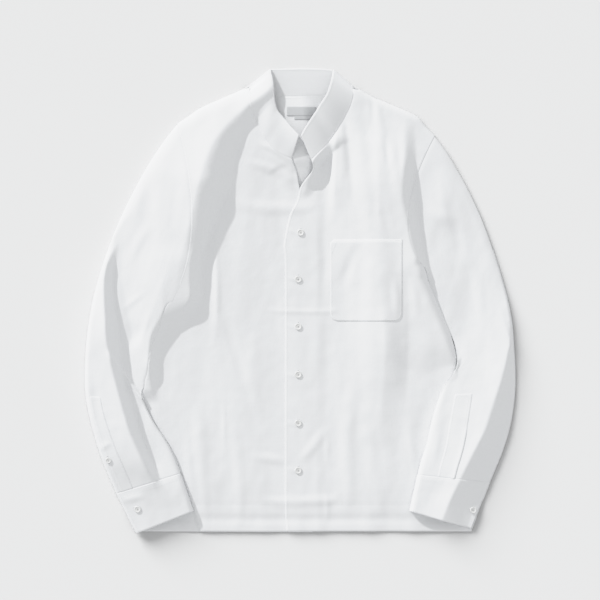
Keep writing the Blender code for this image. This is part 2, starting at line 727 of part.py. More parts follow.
def make_button(name, place, radius, top_of):
    """A turned button: a raised rim round a dished middle, lying on the cloth."""
    x, y = place
    step = radius / 2
    sx = np.array([x, x - step, x + step, x, x], float)
    sy = np.array([y, y, y, y - step, y + step], float)
    z = top_of(sx, sy)
    normal = Vector((-(z[2] - z[1]) / (2 * step), -(z[4] - z[3]) / (2 * step), 1.0)).normalized()
    hollow = max(0.0, (z[1] + z[2]) / 2 - z[0], (z[3] + z[4]) / 2 - z[0])
    profile = (
        (0.0, 0.0), (0.62 * radius, 0.0), (0.94 * radius, 0.5), (radius, 1.1),
        (0.95 * radius, 0.85 * BUTTON_HEIGHT), (0.82 * radius, BUTTON_HEIGHT),
        (0.64 * radius, 0.72 * BUTTON_HEIGHT), (0.0, 0.62 * BUTTON_HEIGHT),
    )
    work = bmesh.new()
    points = [work.verts.new((r * MM, 0.0, h * MM)) for r, h in profile]
    for a, b in zip(points, points[1:]):
        work.edges.new((a, b))
    bmesh.ops.spin(work, geom=work.verts[:] + work.edges[:], axis=(0, 0, 1), cent=(0, 0, 0),
                   angle=2 * math.pi, steps=16)
    bmesh.ops.remove_doubles(work, verts=work.verts, dist=0.00001)
    turn = Vector((0, 0, 1)).rotation_difference(normal).to_matrix().to_4x4()
    seat = (Vector((x, y, z[0])) + normal * (BUTTON_SEAT + hollow)) * MM
    bmesh.ops.transform(work, matrix=Matrix.Translation(seat) @ turn, verts=work.verts)
    bmesh.ops.recalc_face_normals(work, faces=work.faces)
    mesh = bpy.data.meshes.new(name)
    work.to_mesh(mesh)
    work.free()
    return add_object(name, mesh, "shell")


def make_buttons():
    for number, place in enumerate(FRONT_BUTTONS, start=1):
        make_button("button_%d" % number, place, BUTTON_RADIUS, left_front_top)
    for side in ("right", "left"):
        def cuff_top(x, y, side=side):
            floor = sleeve_floor(x, y, side, 1.0)
            return floor + 2 * BAND + GAP + sleeve_relief(x, y, side, 1.0)
        make_button("cuff_button_" + side, CUFF_BUTTONS[side], BUTTON_RADIUS, cuff_top)

    def placket_top(x, y):
        floor = sleeve_floor(x, y, "right", 1.0)
        relief = sleeve_relief(x, y, "right", 1.0)
        return floor + FRONT_TOP + relief + GAP + PLACKET_WALL
    make_button("sleeve_button", SLEEVE_BUTTON, SMALL_BUTTON_RADIUS, placket_top)


def main():
    for old in list(bpy.data.objects):
        bpy.data.objects.remove(old)
    make_back()
    make_collar()
    for side in ("right", "left"):
        make_front(side)
        make_sleeve(side)
        make_cuff(side)
    make_pocket()
    make_buttons()
    flat_plate("label", LABEL, CLOTH + GAP, CLOTH + GAP + LABEL_WALL, "satin")
    flat_plate("size_tab", SIZE_TAB, CLOTH + GAP, CLOTH + GAP + LABEL_WALL, "satin")


main()
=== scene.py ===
import math

import bmesh
import bpy
import numpy as np
from mathutils import Matrix, Vector


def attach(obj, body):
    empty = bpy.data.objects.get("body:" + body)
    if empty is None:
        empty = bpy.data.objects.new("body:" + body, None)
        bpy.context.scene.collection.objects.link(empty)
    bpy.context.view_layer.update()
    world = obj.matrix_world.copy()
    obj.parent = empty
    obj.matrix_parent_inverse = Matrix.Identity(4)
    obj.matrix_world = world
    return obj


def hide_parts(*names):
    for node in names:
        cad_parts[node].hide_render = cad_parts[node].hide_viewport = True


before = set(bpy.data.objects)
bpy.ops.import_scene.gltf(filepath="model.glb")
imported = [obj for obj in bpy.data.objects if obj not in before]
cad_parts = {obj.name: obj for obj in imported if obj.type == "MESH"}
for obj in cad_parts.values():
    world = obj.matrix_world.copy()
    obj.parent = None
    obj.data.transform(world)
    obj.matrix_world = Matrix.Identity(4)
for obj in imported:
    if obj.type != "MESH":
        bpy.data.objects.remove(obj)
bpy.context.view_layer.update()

# --- Camera, floor and light -------------------------------------------------------------
# A camera far above the shirt looks straight down on a plain pale floor. White light from
# all sides fills the shade, and a low key light from beyond the right shoulder rakes over
# the folds. The floor has its own, softer and higher light, and takes none of the key.

scene = bpy.context.scene
scene.view_settings.view_transform = "Standard"
scene.view_settings.look = "None"
scene.view_settings.use_curve_mapping = True
shoulder = scene.view_settings.curve_mapping        # keeps the lit slopes from burning out
shoulder.use_clip = False
shoulder.extend = "EXTRAPOLATED"
tone = shoulder.curves[3]
tone.points[1].location = (1.0, 0.895)
for level, shown in ((0.4, 0.4), (0.78, 0.78), (0.86, 0.843)):
    tone.points.new(level, shown)
shoulder.update()
scene.world = bpy.data.worlds.new("fill")
scene.world.use_nodes = True
sky = scene.world.node_tree.nodes["Background"]
sky.inputs["Color"].default_value = (0.985, 0.995, 1.0, 1.0)
sky.inputs["Strength"].default_value = 0.712


def placed(name, data, *materials):
    """An object of this data in the scene."""
    for material in materials:
        data.materials.append(material)
    made = bpy.data.objects.new(name, data)
    scene.collection.objects.link(made)
    return made


camera_data = bpy.data.cameras.new("camera")
camera_data.lens = 200.0
camera_data.sensor_width = 36.0
camera = placed("camera", camera_data)
camera.location = (0.0, 0.0008, 5.5)
scene.camera = camera


def plain_mesh(name, points, faces, material, smooth=True):
    """A mesh object whose place is in its mesh, with its faces turned outwards."""
    mesh = bpy.data.meshes.new(name)
    mesh.from_pydata([tuple(p) for p in points], [], faces)
    work = bmesh.new()
    work.from_mesh(mesh)
    bmesh.ops.recalc_face_normals(work, faces=work.faces)
    closed = not any(edge.is_boundary for edge in work.edges)
    if closed and work.calc_volume(signed=True) < 0:
        bmesh.ops.reverse_faces(work, faces=work.faces)
    work.to_mesh(mesh)
    work.free()
    if smooth:
        mesh.shade_smooth()
    return placed(name, mesh, material)


def shader(name, colour, roughness):
    """A material, its tree, its Principled shader."""
    made = bpy.data.materials.new(name)
    made.use_nodes = True
    tree = made.node_tree
    surface = tree.nodes["Principled BSDF"]
    surface.inputs["Base Color"].default_value = (*colour, 1.0)
    surface.inputs["Roughness"].default_value = roughness
    return made, tree, surface


def node(tree, kind, inputs=(), **settings):
    """A node with its settings, and its inputs given as values or as sockets."""
    made = tree.nodes.new(kind)
    for key, value in settings.items():
        setattr(made, key, value)
    for key, value in dict(inputs).items():
        if isinstance(value, bpy.types.NodeSocket):
            tree.links.new(value, made.inputs[key])
        else:
            made.inputs[key].default_value = value
    return made


def mottled(name, colour, roughness, scale, dark, light):
    """A material whose colour wanders between two shades, and its shader."""
    made, tree, surface = shader(name, colour, roughness)
    place = node(tree, "ShaderNodeTexCoord")
    cloud = node(tree, "ShaderNodeTexNoise", {"Vector": place.outputs["Object"], "Scale": scale})
    shade = node(tree, "ShaderNodeValToRGB", {"Fac": cloud.outputs["Fac"]})
    for stop, shown in zip(shade.color_ramp.elements, (dark, light)):
        stop.color = (*shown, 1.0)
    tree.links.new(shade.outputs["Color"], surface.inputs["Base Color"])
    return made, surface


HALF_FLOOR = 4.0
FLOOR_Z = -0.0004       # a little below the shirt, so that no faces coincide
floor_paint, surface = mottled("floor_paint", (0.60,) * 3, 0.95, 3.0, (0.596,) * 3, (0.604,) * 3)
surface.inputs["Specular IOR Level"].default_value = 0.0
corners = [(x * HALF_FLOOR, y * HALF_FLOOR, FLOOR_Z)
           for x, y in ((-1, -1), (1, -1), (1, 1), (-1, 1))]
floor = plain_mesh("floor", corners, [(0, 1, 2, 3)], floor_paint, smooth=False)

SUN_WAY = (0.63, -0.777)                # in plan, from beyond the right shoulder


def add_sun(name, strength, elevation, angle, link_state):
    """A sun that lights only the floor, or all but the floor."""
    data = bpy.data.lights.new(name, "SUN")
    data.energy = strength
    data.angle = math.radians(angle)
    sun = placed(name, data)
    flat = math.cos(math.radians(elevation))
    way = Vector((SUN_WAY[0] * flat, SUN_WAY[1] * flat, -math.sin(math.radians(elevation))))
    sun.rotation_euler = way.to_track_quat("-Z", "Y").to_euler()
    taking = bpy.data.collections.new(name + "_takers")
    taking.objects.link(floor)
    taking.collection_objects[0].light_linking.link_state = link_state
    sun.light_linking.receiver_collection = taking


add_sun("key", 1.84, 22.0, 1.5, "EXCLUDE")
add_sun("floor_light", 4.6, 27.0, 38.0, "INCLUDE")

# --- Cloth and the back ------------------------------------------------------------------
# Plain-woven white linen of about 150 g/m2, uneven in the yarn and creased by wear. The
# back is one panel with both shoulders, and it is the only one that lies on the floor. All
# lengths in the tables are in millimetres, with right and left the wearer's.

MM = 0.001
CLOTH = 1.5             # wall of the back and the sleeves
BAND = 1.8              # wall of the fronts, the collar and the cuffs
FRONT_TOP = 3.3         # top of a front that lies flat on the back
RIM = 0.45              # how far the middle of a folded rim stands out, in walls
BULGE_OUT = 0.35        # how far a tube's side edge stands out, in heights of the tube
BULGE_IN = 0.2          # the same for its inner face
SIDES = ("right", "left")
INWARDS = {"right": 1.0, "left": -1.0}          # the way along X from a side to the middle
LINEN_WHITE = (0.862, 0.867, 0.877)
LINEN_SHADE = 0.94      # how much darker the cloth is where it is thin
YARNS = 1500.0          # to the metre
SLUB = 0.35             # how far uneven yarns and the crumple stand out
CRUMPLE = 0.9


def linen(name):
    """White linen: yarns that cross over and under, with slubs, and a fine crumple."""
    made, tree, surface = shader(name, LINEN_WHITE, 0.88)
    cloth = node(tree, "ShaderNodeAttribute", attribute_name="cloth").outputs["Vector"]

    def maths(operation, *values):
        return node(tree, "ShaderNodeMath", dict(enumerate(values)),
                    operation=operation).outputs[0]

    def noise(vector, scale, detail, roughness):
        return node(tree, "ShaderNodeTexNoise",
                    {"Vector": vector, "Scale": scale, "Detail": detail,
                     "Roughness": roughness}).outputs["Fac"]

    split = node(tree, "ShaderNodeSeparateXYZ", {"Vector": cloth})
    waves = []
    for axis in ("X", "Y"):
        turns = maths("MULTIPLY", split.outputs[axis], YARNS)
        waves.append(maths("SINE", maths("MULTIPLY", turns, math.pi)))
    weave = maths("MULTIPLY", *waves)
    grains = []
    for stretch in ((260.0, 9.0, 0.0), (7.0, 240.0, 0.0)):
        drawn = node(tree, "ShaderNodeVectorMath", {0: cloth, 1: stretch},
                     operation="MULTIPLY").outputs["Vector"]
        grains.append(noise(drawn, 1.0, 2.0, 0.6))
    slubs = maths("ADD", *grains)
    slub = maths("MULTIPLY", maths("SUBTRACT", slubs, 1.0), SLUB)
    crumple = maths("MULTIPLY", noise(cloth, 70.0, 3.0, 0.55), CRUMPLE)
    height = maths("ADD", maths("MULTIPLY", weave, 0.05), maths("ADD", slub, crumple))
    thin = maths("ADD", maths("MULTIPLY", slubs, 0.05), maths("MULTIPLY", weave, 0.012))
    tint = node(tree, "ShaderNodeMix", {0: thin}, data_type="RGBA")
    tint.inputs[6].default_value = (*LINEN_WHITE, 1.0)
    tint.inputs[7].default_value = (*[LINEN_SHADE * c for c in LINEN_WHITE], 1.0)
    tree.links.new(tint.outputs[2], surface.inputs["Base Color"])
    bump = node(tree, "ShaderNodeBump", {"Height": height, "Strength": 0.5, "Distance": 0.0005})
    tree.links.new(bump.outputs["Normal"], surface.inputs["Normal"])
    for key, value in (("Sheen Weight", 0.15), ("Sheen Roughness", 0.6),
                       ("Specular IOR Level", 0.2)):
        surface.inputs[key].default_value = value
    return made


body_linen = linen("linen_body")


def smooth(t):
    """0 to 1 with flat ends."""
    t = np.clip(t, 0.0, 1.0)
    return t * t * (3.0 - 2.0 * t)


def spread(line, where):
    """Points of a line at fractions of its length in plan."""
    steps = np.hypot(np.diff(line[:, 0]), np.diff(line[:, 1]))
    along = np.r_[0.0, np.cumsum(steps)]
    return np.stack([np.interp(np.asarray(where) * along[-1], along, c) for c in line.T], axis=1)


def curve(rows, count):
    """Count rows, evenly spaced in plan, on a smooth line through the given rows."""
    p = np.array(rows, float)
    q = np.vstack([2 * p[0] - p[1], p, 2 * p[-1] - p[-2]])
    t = np.linspace(0.0, 1.0, 17)[:, None]
    parts = []
    for a, b, c, d in zip(q, q[1:], q[2:], q[3:]):
        parts.append(0.5 * (2 * b + (c - a) * t + (2 * a - 5 * b + 4 * c - d) * t ** 2
                            + (3 * b - a - 3 * c + d) * t ** 3))
    return spread(np.vstack(parts), np.linspace(0.0, 1.0, count))


def shifted(line, distance):
    """A plan line moved sideways, to its left for a positive distance."""
    run = np.gradient(line[:, :2], axis=0)
    side = np.stack([-run[:, 1], run[:, 0]], axis=1)
    return line[:, :2] + distance * side / np.linalg.norm(side, axis=1)[:, None]


def nearest(x, y, line):
    """Distance to a line, the line's columns at the nearest point, and on which side."""
    a, b = line[:-1], line[1:]
    run = b[:, :2] - a[:, :2]
    px, py = x[..., None] - a[:, 0], y[..., None] - a[:, 1]
    t = np.clip((px * run[:, 0] + py * run[:, 1]) / (run ** 2).sum(1), 0.0, 1.0)
    away = np.hypot(px - t * run[:, 0], py - t * run[:, 1])
    k = away.argmin(-1)[..., None]
    t = np.take_along_axis(t, k, -1)
    cross = run[:, 0] * py - run[:, 1] * px
    columns = a[k[..., 0]] + (b - a)[k[..., 0]] * t
    distance = np.take_along_axis(away, k, -1)[..., 0]
    return distance, columns, np.take_along_axis(cross, k, -1)[..., 0]


def between(first, second, across):
    """Grid of plan points on straight rows between two lines."""
    u = np.asarray(across)[None, :, None]
    return first[:, None, :2] * (1.0 - u) + second[:, None, :2] * u


def unit(v):
    """Vectors at a length of 1."""
    return v / np.maximum(np.linalg.norm(v, axis=-1, keepdims=True), 1e-9)


def cloth_mesh(name, material, points, pattern, faces):
    """A cloth object from millimetres, with the place of each point on the flat cloth."""
    made = plain_mesh(name, np.asarray(points) * MM, faces, material)
    flat = np.zeros((len(points), 3))
    flat[:, :2] = np.asarray(pattern) * MM
    spot = made.data.attributes.new("cloth", "FLOAT_VECTOR", "POINT")
    spot.data.foreach_set("vector", flat.ravel())
    return made


def on_cloth(grid):
    """Place on the flat cloth of each point of a grid: arc lengths across and along."""
    across = np.linalg.norm(np.diff(grid, axis=1), axis=2)
    along = np.linalg.norm(np.diff(grid, axis=0), axis=2).mean(axis=1)
    u = np.concatenate([np.zeros((len(grid), 1)), np.cumsum(across, axis=1)], axis=1)
    v = np.r_[0.0, np.cumsum(along)]
    return np.stack([u, np.broadcast_to(v[:, None], u.shape)], -1)


def raised(plan, height_of):
    """Plan points with the height that a function gives for their places."""
    return np.concatenate([plan, height_of(plan[..., 0], plan[..., 1])[..., None]], axis=-1)


def hoops(rows, around, first=0):
    """Faces between closed rings of points that follow one another."""
    faces = []
    for i in range(rows - 1):
        for j in range(around):
            a, b = first + i * around + j, first + i * around + (j + 1) % around
            faces.append((a, b, b + around, a + around))
    return faces


def panel(name, material, top, low):
    """A wall of cloth between two grids of points, with rounded rims all round."""
    rows, columns = top.shape[:2]

    def middle(upper, before, lower):
        """The middle of a rim, which stands out by a share of the wall."""
        wall = np.linalg.norm(upper - lower, axis=1, keepdims=True)
        return (upper + lower) / 2 + unit(upper - before) * (wall * RIM)

    first = middle(top[:, 0], top[:, 1], low[:, 0])
    last = middle(top[:, -1], top[:, -2], low[:, -1])
    loops = np.concatenate([top, last[:, None], low[:, ::-1], first[:, None]], axis=1)
    flat = on_cloth(top)
    flats = np.concatenate([flat, flat[:, -1:], flat[:, ::-1], flat[:, :1]], axis=1)
    around = loops.shape[1]
    faces = hoops(rows, around)
    points, spots = [loops.reshape(-1, 3)], [flats.reshape(-1, 2)]
    count = rows * around
    for i, before in ((0, 1), (rows - 1, rows - 2)):
        points.append(middle(top[i], top[before], low[i])[1:-1])
        spots.append(flat[i, 1:-1])
        base = i * around
        mids = [base + around - 1] + list(range(count, count + columns - 2)) + [base + columns]
        count += columns - 2
        for j in range(columns - 1):
            upper, lower = base + j, base + 2 * columns - j
            faces.append((upper, upper + 1, mids[j + 1], mids[j]))
            faces.append((mids[j], mids[j + 1], lower - 1, lower))
    return cloth_mesh(name, material, np.vstack(points), np.vstack(spots), faces)


def tube(name, material, top, low, wall):
    """A flattened tube of cloth: over the top, back underneath, with rounded ends."""
    rows = len(top)

    def ring(upper, lower, bulge):
        """The upper and the lower layer joined by points that stand out at both sides."""
        sides = []
        for end, following in ((0, 1), (-1, -2)):
            a, b = upper[:, end], lower[:, end]
            high = np.linalg.norm(a - b, axis=1, keepdims=True)
            sides.append((a + b) / 2 + unit(a - upper[:, following]) * high * bulge)
        first, last = sides
        return np.concatenate([upper, last[:, None], lower[:, ::-1], first[:, None]], axis=1)

    def drawn(layer, distance, up):
        """A layer moved by the wall, with its side edges drawn in."""
        moved = layer + np.array([0.0, 0.0, up])
        for end, following in ((0, 1), (-1, -2)):
            moved[:, end] += unit(layer[:, following] - layer[:, end]) * distance
        return moved

    outer = ring(top, low, BULGE_OUT)
    inner = ring(drawn(top, 1.2 * wall, -wall), drawn(low, 1.2 * wall, wall), BULGE_IN)
    around = outer.shape[1]
    ends = []
    for i, before in ((0, 1), (rows - 1, rows - 2)):
        ends.append((outer[i] + inner[i]) / 2 + unit(outer[i] - outer[before]) * wall * RIM)
    points = np.vstack([outer.reshape(-1, 3), inner.reshape(-1, 3)] + ends)
    flat = on_cloth(outer).reshape(-1, 2)
    spots = np.vstack([flat, flat, flat[:around], flat[-around:]])
    half = rows * around
    faces = hoops(rows, around) + [face[::-1] for face in hoops(rows, around, half)]
    for n, row in enumerate((0, half - around)):
        mid = 2 * half + n * around
        for j in range(around):
            k = (j + 1) % around
            faces.append((row + j, row + k, mid + k, mid + j))
            faces.append((mid + j, mid + k, half + row + k, half + row + j))
    return cloth_mesh(name, material, points, spots, faces)


def dress(piece, *nodes, slot="linen"):
    """The piece is part of the one rigid body, and stands for these nodes."""
    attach(piece, "root")
    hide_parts(*nodes)


SHOULDER = {
    "right": ((-83, 354), (-98, 346), (-131, 332), (-164, 317), (-189, 300), (-202, 292)),
    "left": ((88, 353), (97, 349), (120, 335), (149, 323), (191, 304), (207, 287), (222, 272)),
}
SIDE_SEAM = {           # from the armpit to the hem
    "right": ((-210, 2), (-220, -11), (-228, -28), (-236, -44), (-248, -64), (-260, -92),
              (-268, -122), (-273, -160), (-276, -220), (-273, -300), (-266, -380)),
    "left": ((197, 62), (206, 50), (213, 28), (224, 2), (237, -28), (248, -56), (257, -86),
             (263, -124), (270, -182), (276, -264), (283, -380)),
}
ARMHOLE_BOW = {"right": 57.0, "left": 62.0}
ARMHOLE_DROP = 34.0
BACK_SEAM = ((-82, 355), (-68, 345), (-49, 339), (-19, 336), (12, 337), (44, 340), (67, 344),
             (87, 353))
# Sleeves: stations from the armhole to the cuff. Columns: outer x, y, inner x, y, bow of
# the row towards the body, and how far the sleeve has climbed over the body (0 to 1).
SLEEVE = {
    "right": (
        (-202, 292, -210, 2, 57, 0.0), (-222, 267, -222, -7, 42, 0.6),
        (-246, 232, -229, -22, 28, 1.0), (-272, 186, -234, -40, 14, 1.0),
        (-297, 135, -240, -55, 5, 1.0), (-317, 85, -246, -72, 0, 1.0),
        (-333, 35, -250, -88, 0, 1.0), (-344, -12, -252, -104, 0, 1.0),
        (-351, -60, -255, -120, 0, 1.0), (-354, -105, -259, -138, 0, 1.0),
        (-354, -145, -260, -156, 0, 1.0), (-349, -182, -253, -177, 0, 1.0),
        (-339, -221, -239, -204, 0, 1.0), (-328, -257, -222, -229, 0, 1.0),
        (-314, -292, -207, -257, 0, 1.0), (-303, -318, -197, -285, 0, 1.0),
    ),
    "left": (
        (222, 272, 197, 62, 62, 0.0), (237, 252, 209, 51, 40, 0.0), (252, 229, 216, 30, 24, 0.0),
        (278, 182, 226, 5, 12, 0.0), (301, 132, 235, -17, 4, 0.0), (319, 82, 246, -42, 0, 0.2),
        (334, 33, 257, -66, 0, 0.4), (344, -5, 262, -86, 0, 0.7), (350, -41, 263, -102, 0, 1.0),
        (353, -82, 250, -122, 0, 1.0), (355, -124, 237, -142, 0, 1.0),
        (353, -165, 227, -167, 0, 1.0), (346, -208, 217, -201, 0, 1.0),
        (334, -248, 209, -236, 0, 1.0), (321, -280, 199, -267, 0, 1.0),
        (313, -299, 194, -287, 0, 1.0),
    ),
}
CUFF_END = {"right": ((-270, -383), (-176, -346)), "left": ((283, -375), (181, -346))}


def armhole(side, count):
    """The armhole in plan, from the armpit to the shoulder."""
    top = np.array(SLEEVE[side][0][:2], float)
    low = np.array(SLEEVE[side][0][2:4], float)
    control = (top + low) / 2 + [INWARDS[side] * ARMHOLE_BOW[side], -ARMHOLE_DROP]
    t = np.linspace(0.0, 1.0, count)[:, None]
    return low * (1 - t) ** 2 + 2 * control * t * (1 - t) + top * t ** 2


def half_outline(side):
    """The back's outline from the hem to the neck."""
    line = np.vstack([curve(SIDE_SEAM[side], 150)[::-1], armhole(side, 100)[1:],
                      curve(SHOULDER[side], 60)[::-1][1:]])
    return spread(line, np.linspace(0.0, 1.0, 260))


def crease(x, y, rows):
    """Height of a soft ridge or trough, the same on both sides. Columns: x, y, height, reach."""
    distance, at, _ = nearest(x, y, curve(rows, 6 * len(rows)))
    s = np.clip(distance / at[..., 3], 0.0, 1.0)
    return at[..., 2] * 0.5 * (1.0 + np.cos(math.pi * s))


NECK_RISE = (           # where the back stands up, inside the open neck; columns as above
    (-12, 338, 0.5, 36), (-13, 322, 5, 46), (-12, 305, 9, 46), (-8, 285, 12, 46),
    (-3, 265, 14, 40), (1, 245, 16, 36), (4, 231, 15, 34), (4, 218, 11, 30), (4, 207, 8.5, 24),
    (3, 199, 6.5, 20), (2, 191, 4.5, 16), (0, 183, 2, 14), (-2, 176, 0, 14),
)


def back_rise(x, y):
    """How far the back stands off the floor, with a flat top along the line."""
    distance, at, _ = nearest(x, y, curve(NECK_RISE, 54))
    return at[..., 2] * (1.0 - smooth((distance / at[..., 3] - 0.35) / 0.65))


BACK_ACROSS = np.linspace(0.0, 1.0, 151)
NECK_GAP = 0.4          # between the back and the collar
plan = between(half_outline("right"), half_outline("left"), BACK_ACROSS)
neck = spread(shifted(curve(BACK_SEAM, 60), -NECK_GAP), BACK_ACROSS)
share = np.linspace(0.0, 1.0, len(plan)) ** 6
plan += share[:, None, None] * (neck - plan[-1])[None]
low = raised(plan, back_rise)
back = panel("back_panel", body_linen, low + [0.0, 0.0, CLOTH], low)
dress(back, "back")

# --- Fronts ------------------------------------------------------------------------------
# Two panels sewn to the back at the shoulders and the sides, the left one with its band
# lapped over the right one and held by the buttons. They stand a few millimetres off the
# back and rise into folds that run down from the shoulders and the neck.

LAP = CLOTH + 0.4       # rise of the left front over the right one, up to x = LAP_EDGE
LAP_EDGE = 26.0
SEAM_GAP = 0.3          # between a front and the collar
BLUNT = 7.0             # width over which a folded edge rises, and its share of the height
BLUNT_SHARE = 0.7
BODY_AIR = 5.0          # how far the fronts stand off the back
HEM_AIR, HEM_EASE = 0.35, 90.0          # share of that at the hem, and width of the change
CENTRE_AIR, CENTRE_EASE = 0.45, 60.0    # the same at the centre, which reaches to x = CENTRE
CENTRE = 30.0
HEM_Y = -380.5
ARMPIT_ROWS = 12        # rows of the sleeve that the body's side follows at the armpit
CHEST_Y = 58.0          # y at the front edge of the row that starts at the armpit
FRONT_EDGE = {
    "right": ((22, -381), (22, -165), (22, 58), (16, 124), (6, 157), (-1, 186), (-6, 211),
              (-13, 231)),
    "left": ((-21, -380), (-24, -330), (-24, -132), (-24, 58), (-26, 91), (-19, 129),
             (-14, 145), (-4, 165), (1, 186), (9, 198), (21, 214), (21, 228)),
}
NECK_SEAM = {
    "right": ((-14, 234), (-31, 241), (-45, 251), (-59, 269), (-68, 289), (-78, 309),
              (-83, 324), (-84, 338), (-82, 355)),
    "left": ((19, 231), (37, 249), (55, 271), (65, 287), (75, 305), (82, 318),
             (86, 330), (88, 340), (87, 353)),
}
# Folds, walked from the collar down. Columns: x, y, height, width of the gentle side,
# which is on the right of the walk (-X), width of the steep side, and how round the steep
# side is, from 0 for a soft step to 1 for a rolled edge. Where that is left out, it is ROLL.
ROLL = 0.3
RIDGE_RIGHT = (
    (-60, 346, 6, 40, 22, 0.3), (-80, 328, 10, 52, 26, 0.3), (-101, 309, 14, 62, 30, 0.3),
    (-136, 272, 20, 84, 40, 0.3), (-150, 247, 25, 100, 46, 0.3), (-159, 223, 29, 110, 50, 0.3),
    (-165, 198, 32, 120, 52, 0.35), (-172, 173, 30, 125, 46, 0.4), (-182, 120, 27, 130, 38, 0.6),
    (-190, 90, 24, 130, 34, 0.8), (-203, 50, 20, 120, 34, 1.0), (-216, 15, 16, 105, 40, 1.0),
    (-224, -10, 8, 40, 40, 1.0), (-230, -30, 1, 25, 30, 1.0),
)
RIDGE_LEFT = (
    (163, 396, 22, 150, 18), (167, 330, 22, 150, 18), (170, 268, 22, 150, 18),
    (170, 238, 22, 150, 20), (167, 205, 22, 155, 22), (166, 173, 22.5, 160, 22),
    (172, 136, 22, 155, 22), (181, 95, 21, 140, 22), (192, 58, 23, 120, 20),
    (209, 14, 20, 110, 19), (226, -32, 17, 100, 17), (243, -72, 14, 90, 15),
    (255, -104, 6, 60, 14),
)
RIDGE_CHEST = (
    (126, 300, 2, 30, 30, 0.2), (128, 220, 6, 44, 36, 0.2), (129, 110, 7, 52, 42, 0.2),
    (132, 20, 8, 58, 42, 0.2), (137, -30, 12, 60, 40, 0.3), (139, -70, 14, 60, 38, 0.3),
    (138, -120, 11, 56, 38, 0.3), (134, -160, 6, 48, 38, 0.2), (130, -210, 3, 40, 36, 0.2),
)
RIDGE_NECK_RIGHT = (
    (-82, 344, 2, 20, 20), (-80, 322, 4, 26, 30), (-67, 288, 4, 34, 30), (-45, 254, 8, 44, 30),
    (-16, 233, 12, 44, 30), (-10, 208, 5, 30, 26),
)
RIDGE_NECK_LEFT = (
    (88, 342, 2, 30, 30, 0.3), (85, 325, 3, 30, 38, 0.3), (71, 297, 5, 30, 44, 0.3),
    (62, 284, 2, 30, 34, 0.3), (52, 269, 7, 30, 20, 0.5), (37, 250, 17, 30, 16, 0.5),
    (22, 232, 21, 30, 15, 0.5), (18, 216, 17, 28, 16, 0.3), (13, 200, 11, 24, 18, 0.3),
    (8, 187, 5, 18, 16, 0.3),
)
COLLAR_RIDGE = (        # the fold from the right shoulder starts on the collar
    (-46, 356, 2, 30, 12), (-56, 345, 4, 36, 14), (-70, 334, 5, 40, 16), (-84, 326, 4, 40, 18),
    (-98, 314, 2, 40, 20), (-112, 300, 0, 40, 20),
)
PLEAT_LEFT = (          # walked upwards, so its steep side faces the placket
    (56, 120, 0, 40, 12), (57, 155, 2.5, 70, 10), (57, 184, 6, 85, 9), (58, 215, 8, 95, 9),
    (59, 250, 10, 90, 9), (60, 274, 9, 70, 10), (64, 298, 0, 50, 12),
)
STEP_CHEST = (
    (-144, -82, 0, 12, 8, 0.6), (-140, -53, 1.4, 20, 9, 0.3), (-138, -20, 2.6, 26, 9, 0.3),
    (-138, 16, 3, 28, 9, 0.3), (-138, 63, 3, 26, 9, 0.3), (-137, 96, 2.6, 22, 9, 0.3),
    (-133, 122, 0, 16, 8, 0.6),
)
BODY_FOLDS = (STEP_CHEST, RIDGE_RIGHT, RIDGE_CHEST, RIDGE_NECK_RIGHT, RIDGE_NECK_LEFT,
              COLLAR_RIDGE, PLEAT_LEFT)

STEP = 1.25             # spacing of the height maps
MAP_X = np.arange(-375.0, 375.1, STEP)
MAP_Y = np.arange(-400.0, 400.1, STEP)
rng = np.random.default_rng(11)


def fold(x, y, rows):
    """Height of one ridge: a slope on its gentle side and a rounded drop on its steep one."""
    distance, at, side = nearest(x, y, curve(rows, 6 * len(rows)))
    steep = side > 0
    reach = np.where(steep, at[..., 4], at[..., 3])
    roll = at[..., 5] if at.shape[-1] > 5 else ROLL
    s = np.clip(distance / reach, 0.0, 1.0)
    gentle_form = (1.0 - s) ** 1.25
    steep_form = (1.0 - roll) * 0.5 * (1.0 + np.cos(math.pi * s)) + roll * np.sqrt(1.0 - s * s)
    return at[..., 2] * np.where(steep, steep_form, gentle_form)


def softened(heights, passes):
    """Heights averaged with their neighbours, this many times."""
    for _ in range(passes):
        for axis in (0, 1):
            sides = np.roll(heights, 1, axis) + np.roll(heights, -1, axis)
            heights = (sides + 2 * heights) / 4
    return heights


def height_map(tables, form, passes):
    """A map of the sum of these folds, each worked out only where it reaches, softened."""
    total = np.zeros((len(MAP_Y), len(MAP_X)))
    for rows in tables:
        table = np.array(rows, float)
        reach = table[:, 3:5].max() + 2.0
        low, high = table[:, :2].min(axis=0) - reach, table[:, :2].max(axis=0) + reach
        xs = slice(*np.searchsorted(MAP_X, (low[0], high[0])))
        ys = slice(*np.searchsorted(MAP_Y, (low[1], high[1])))
        total[ys, xs] += form(*np.meshgrid(MAP_X[xs], MAP_Y[ys]), rows)
    return softened(total, passes)


def wrinkles(across, along, height):
    """A map of soft random wrinkles of about these widths and this height."""
    fx = np.fft.fftfreq(len(MAP_X), STEP)[None, :]
    fy = np.fft.fftfreq(len(MAP_Y), STEP)[:, None]
    keep = np.exp(-2 * (math.pi ** 2) * ((fx * across) ** 2 + (fy * along) ** 2))
    made = np.fft.ifft2(np.fft.fft2(rng.standard_normal(keep.shape)) * keep).real
    return made * height / made.std()


def sample(heights, x, y):
    """A map's height at these points."""
    u = np.clip((x - MAP_X[0]) / STEP, 0, len(MAP_X) - 1.001)
    v = np.clip((y - MAP_Y[0]) / STEP, 0, len(MAP_Y) - 1.001)
    i, j = u.astype(int), v.astype(int)
    u, v = u - i, v - j
    return ((heights[j, i] * (1 - u) + heights[j, i + 1] * u) * (1 - v)
            + (heights[j + 1, i] * (1 - u) + heights[j + 1, i + 1] * u) * v)


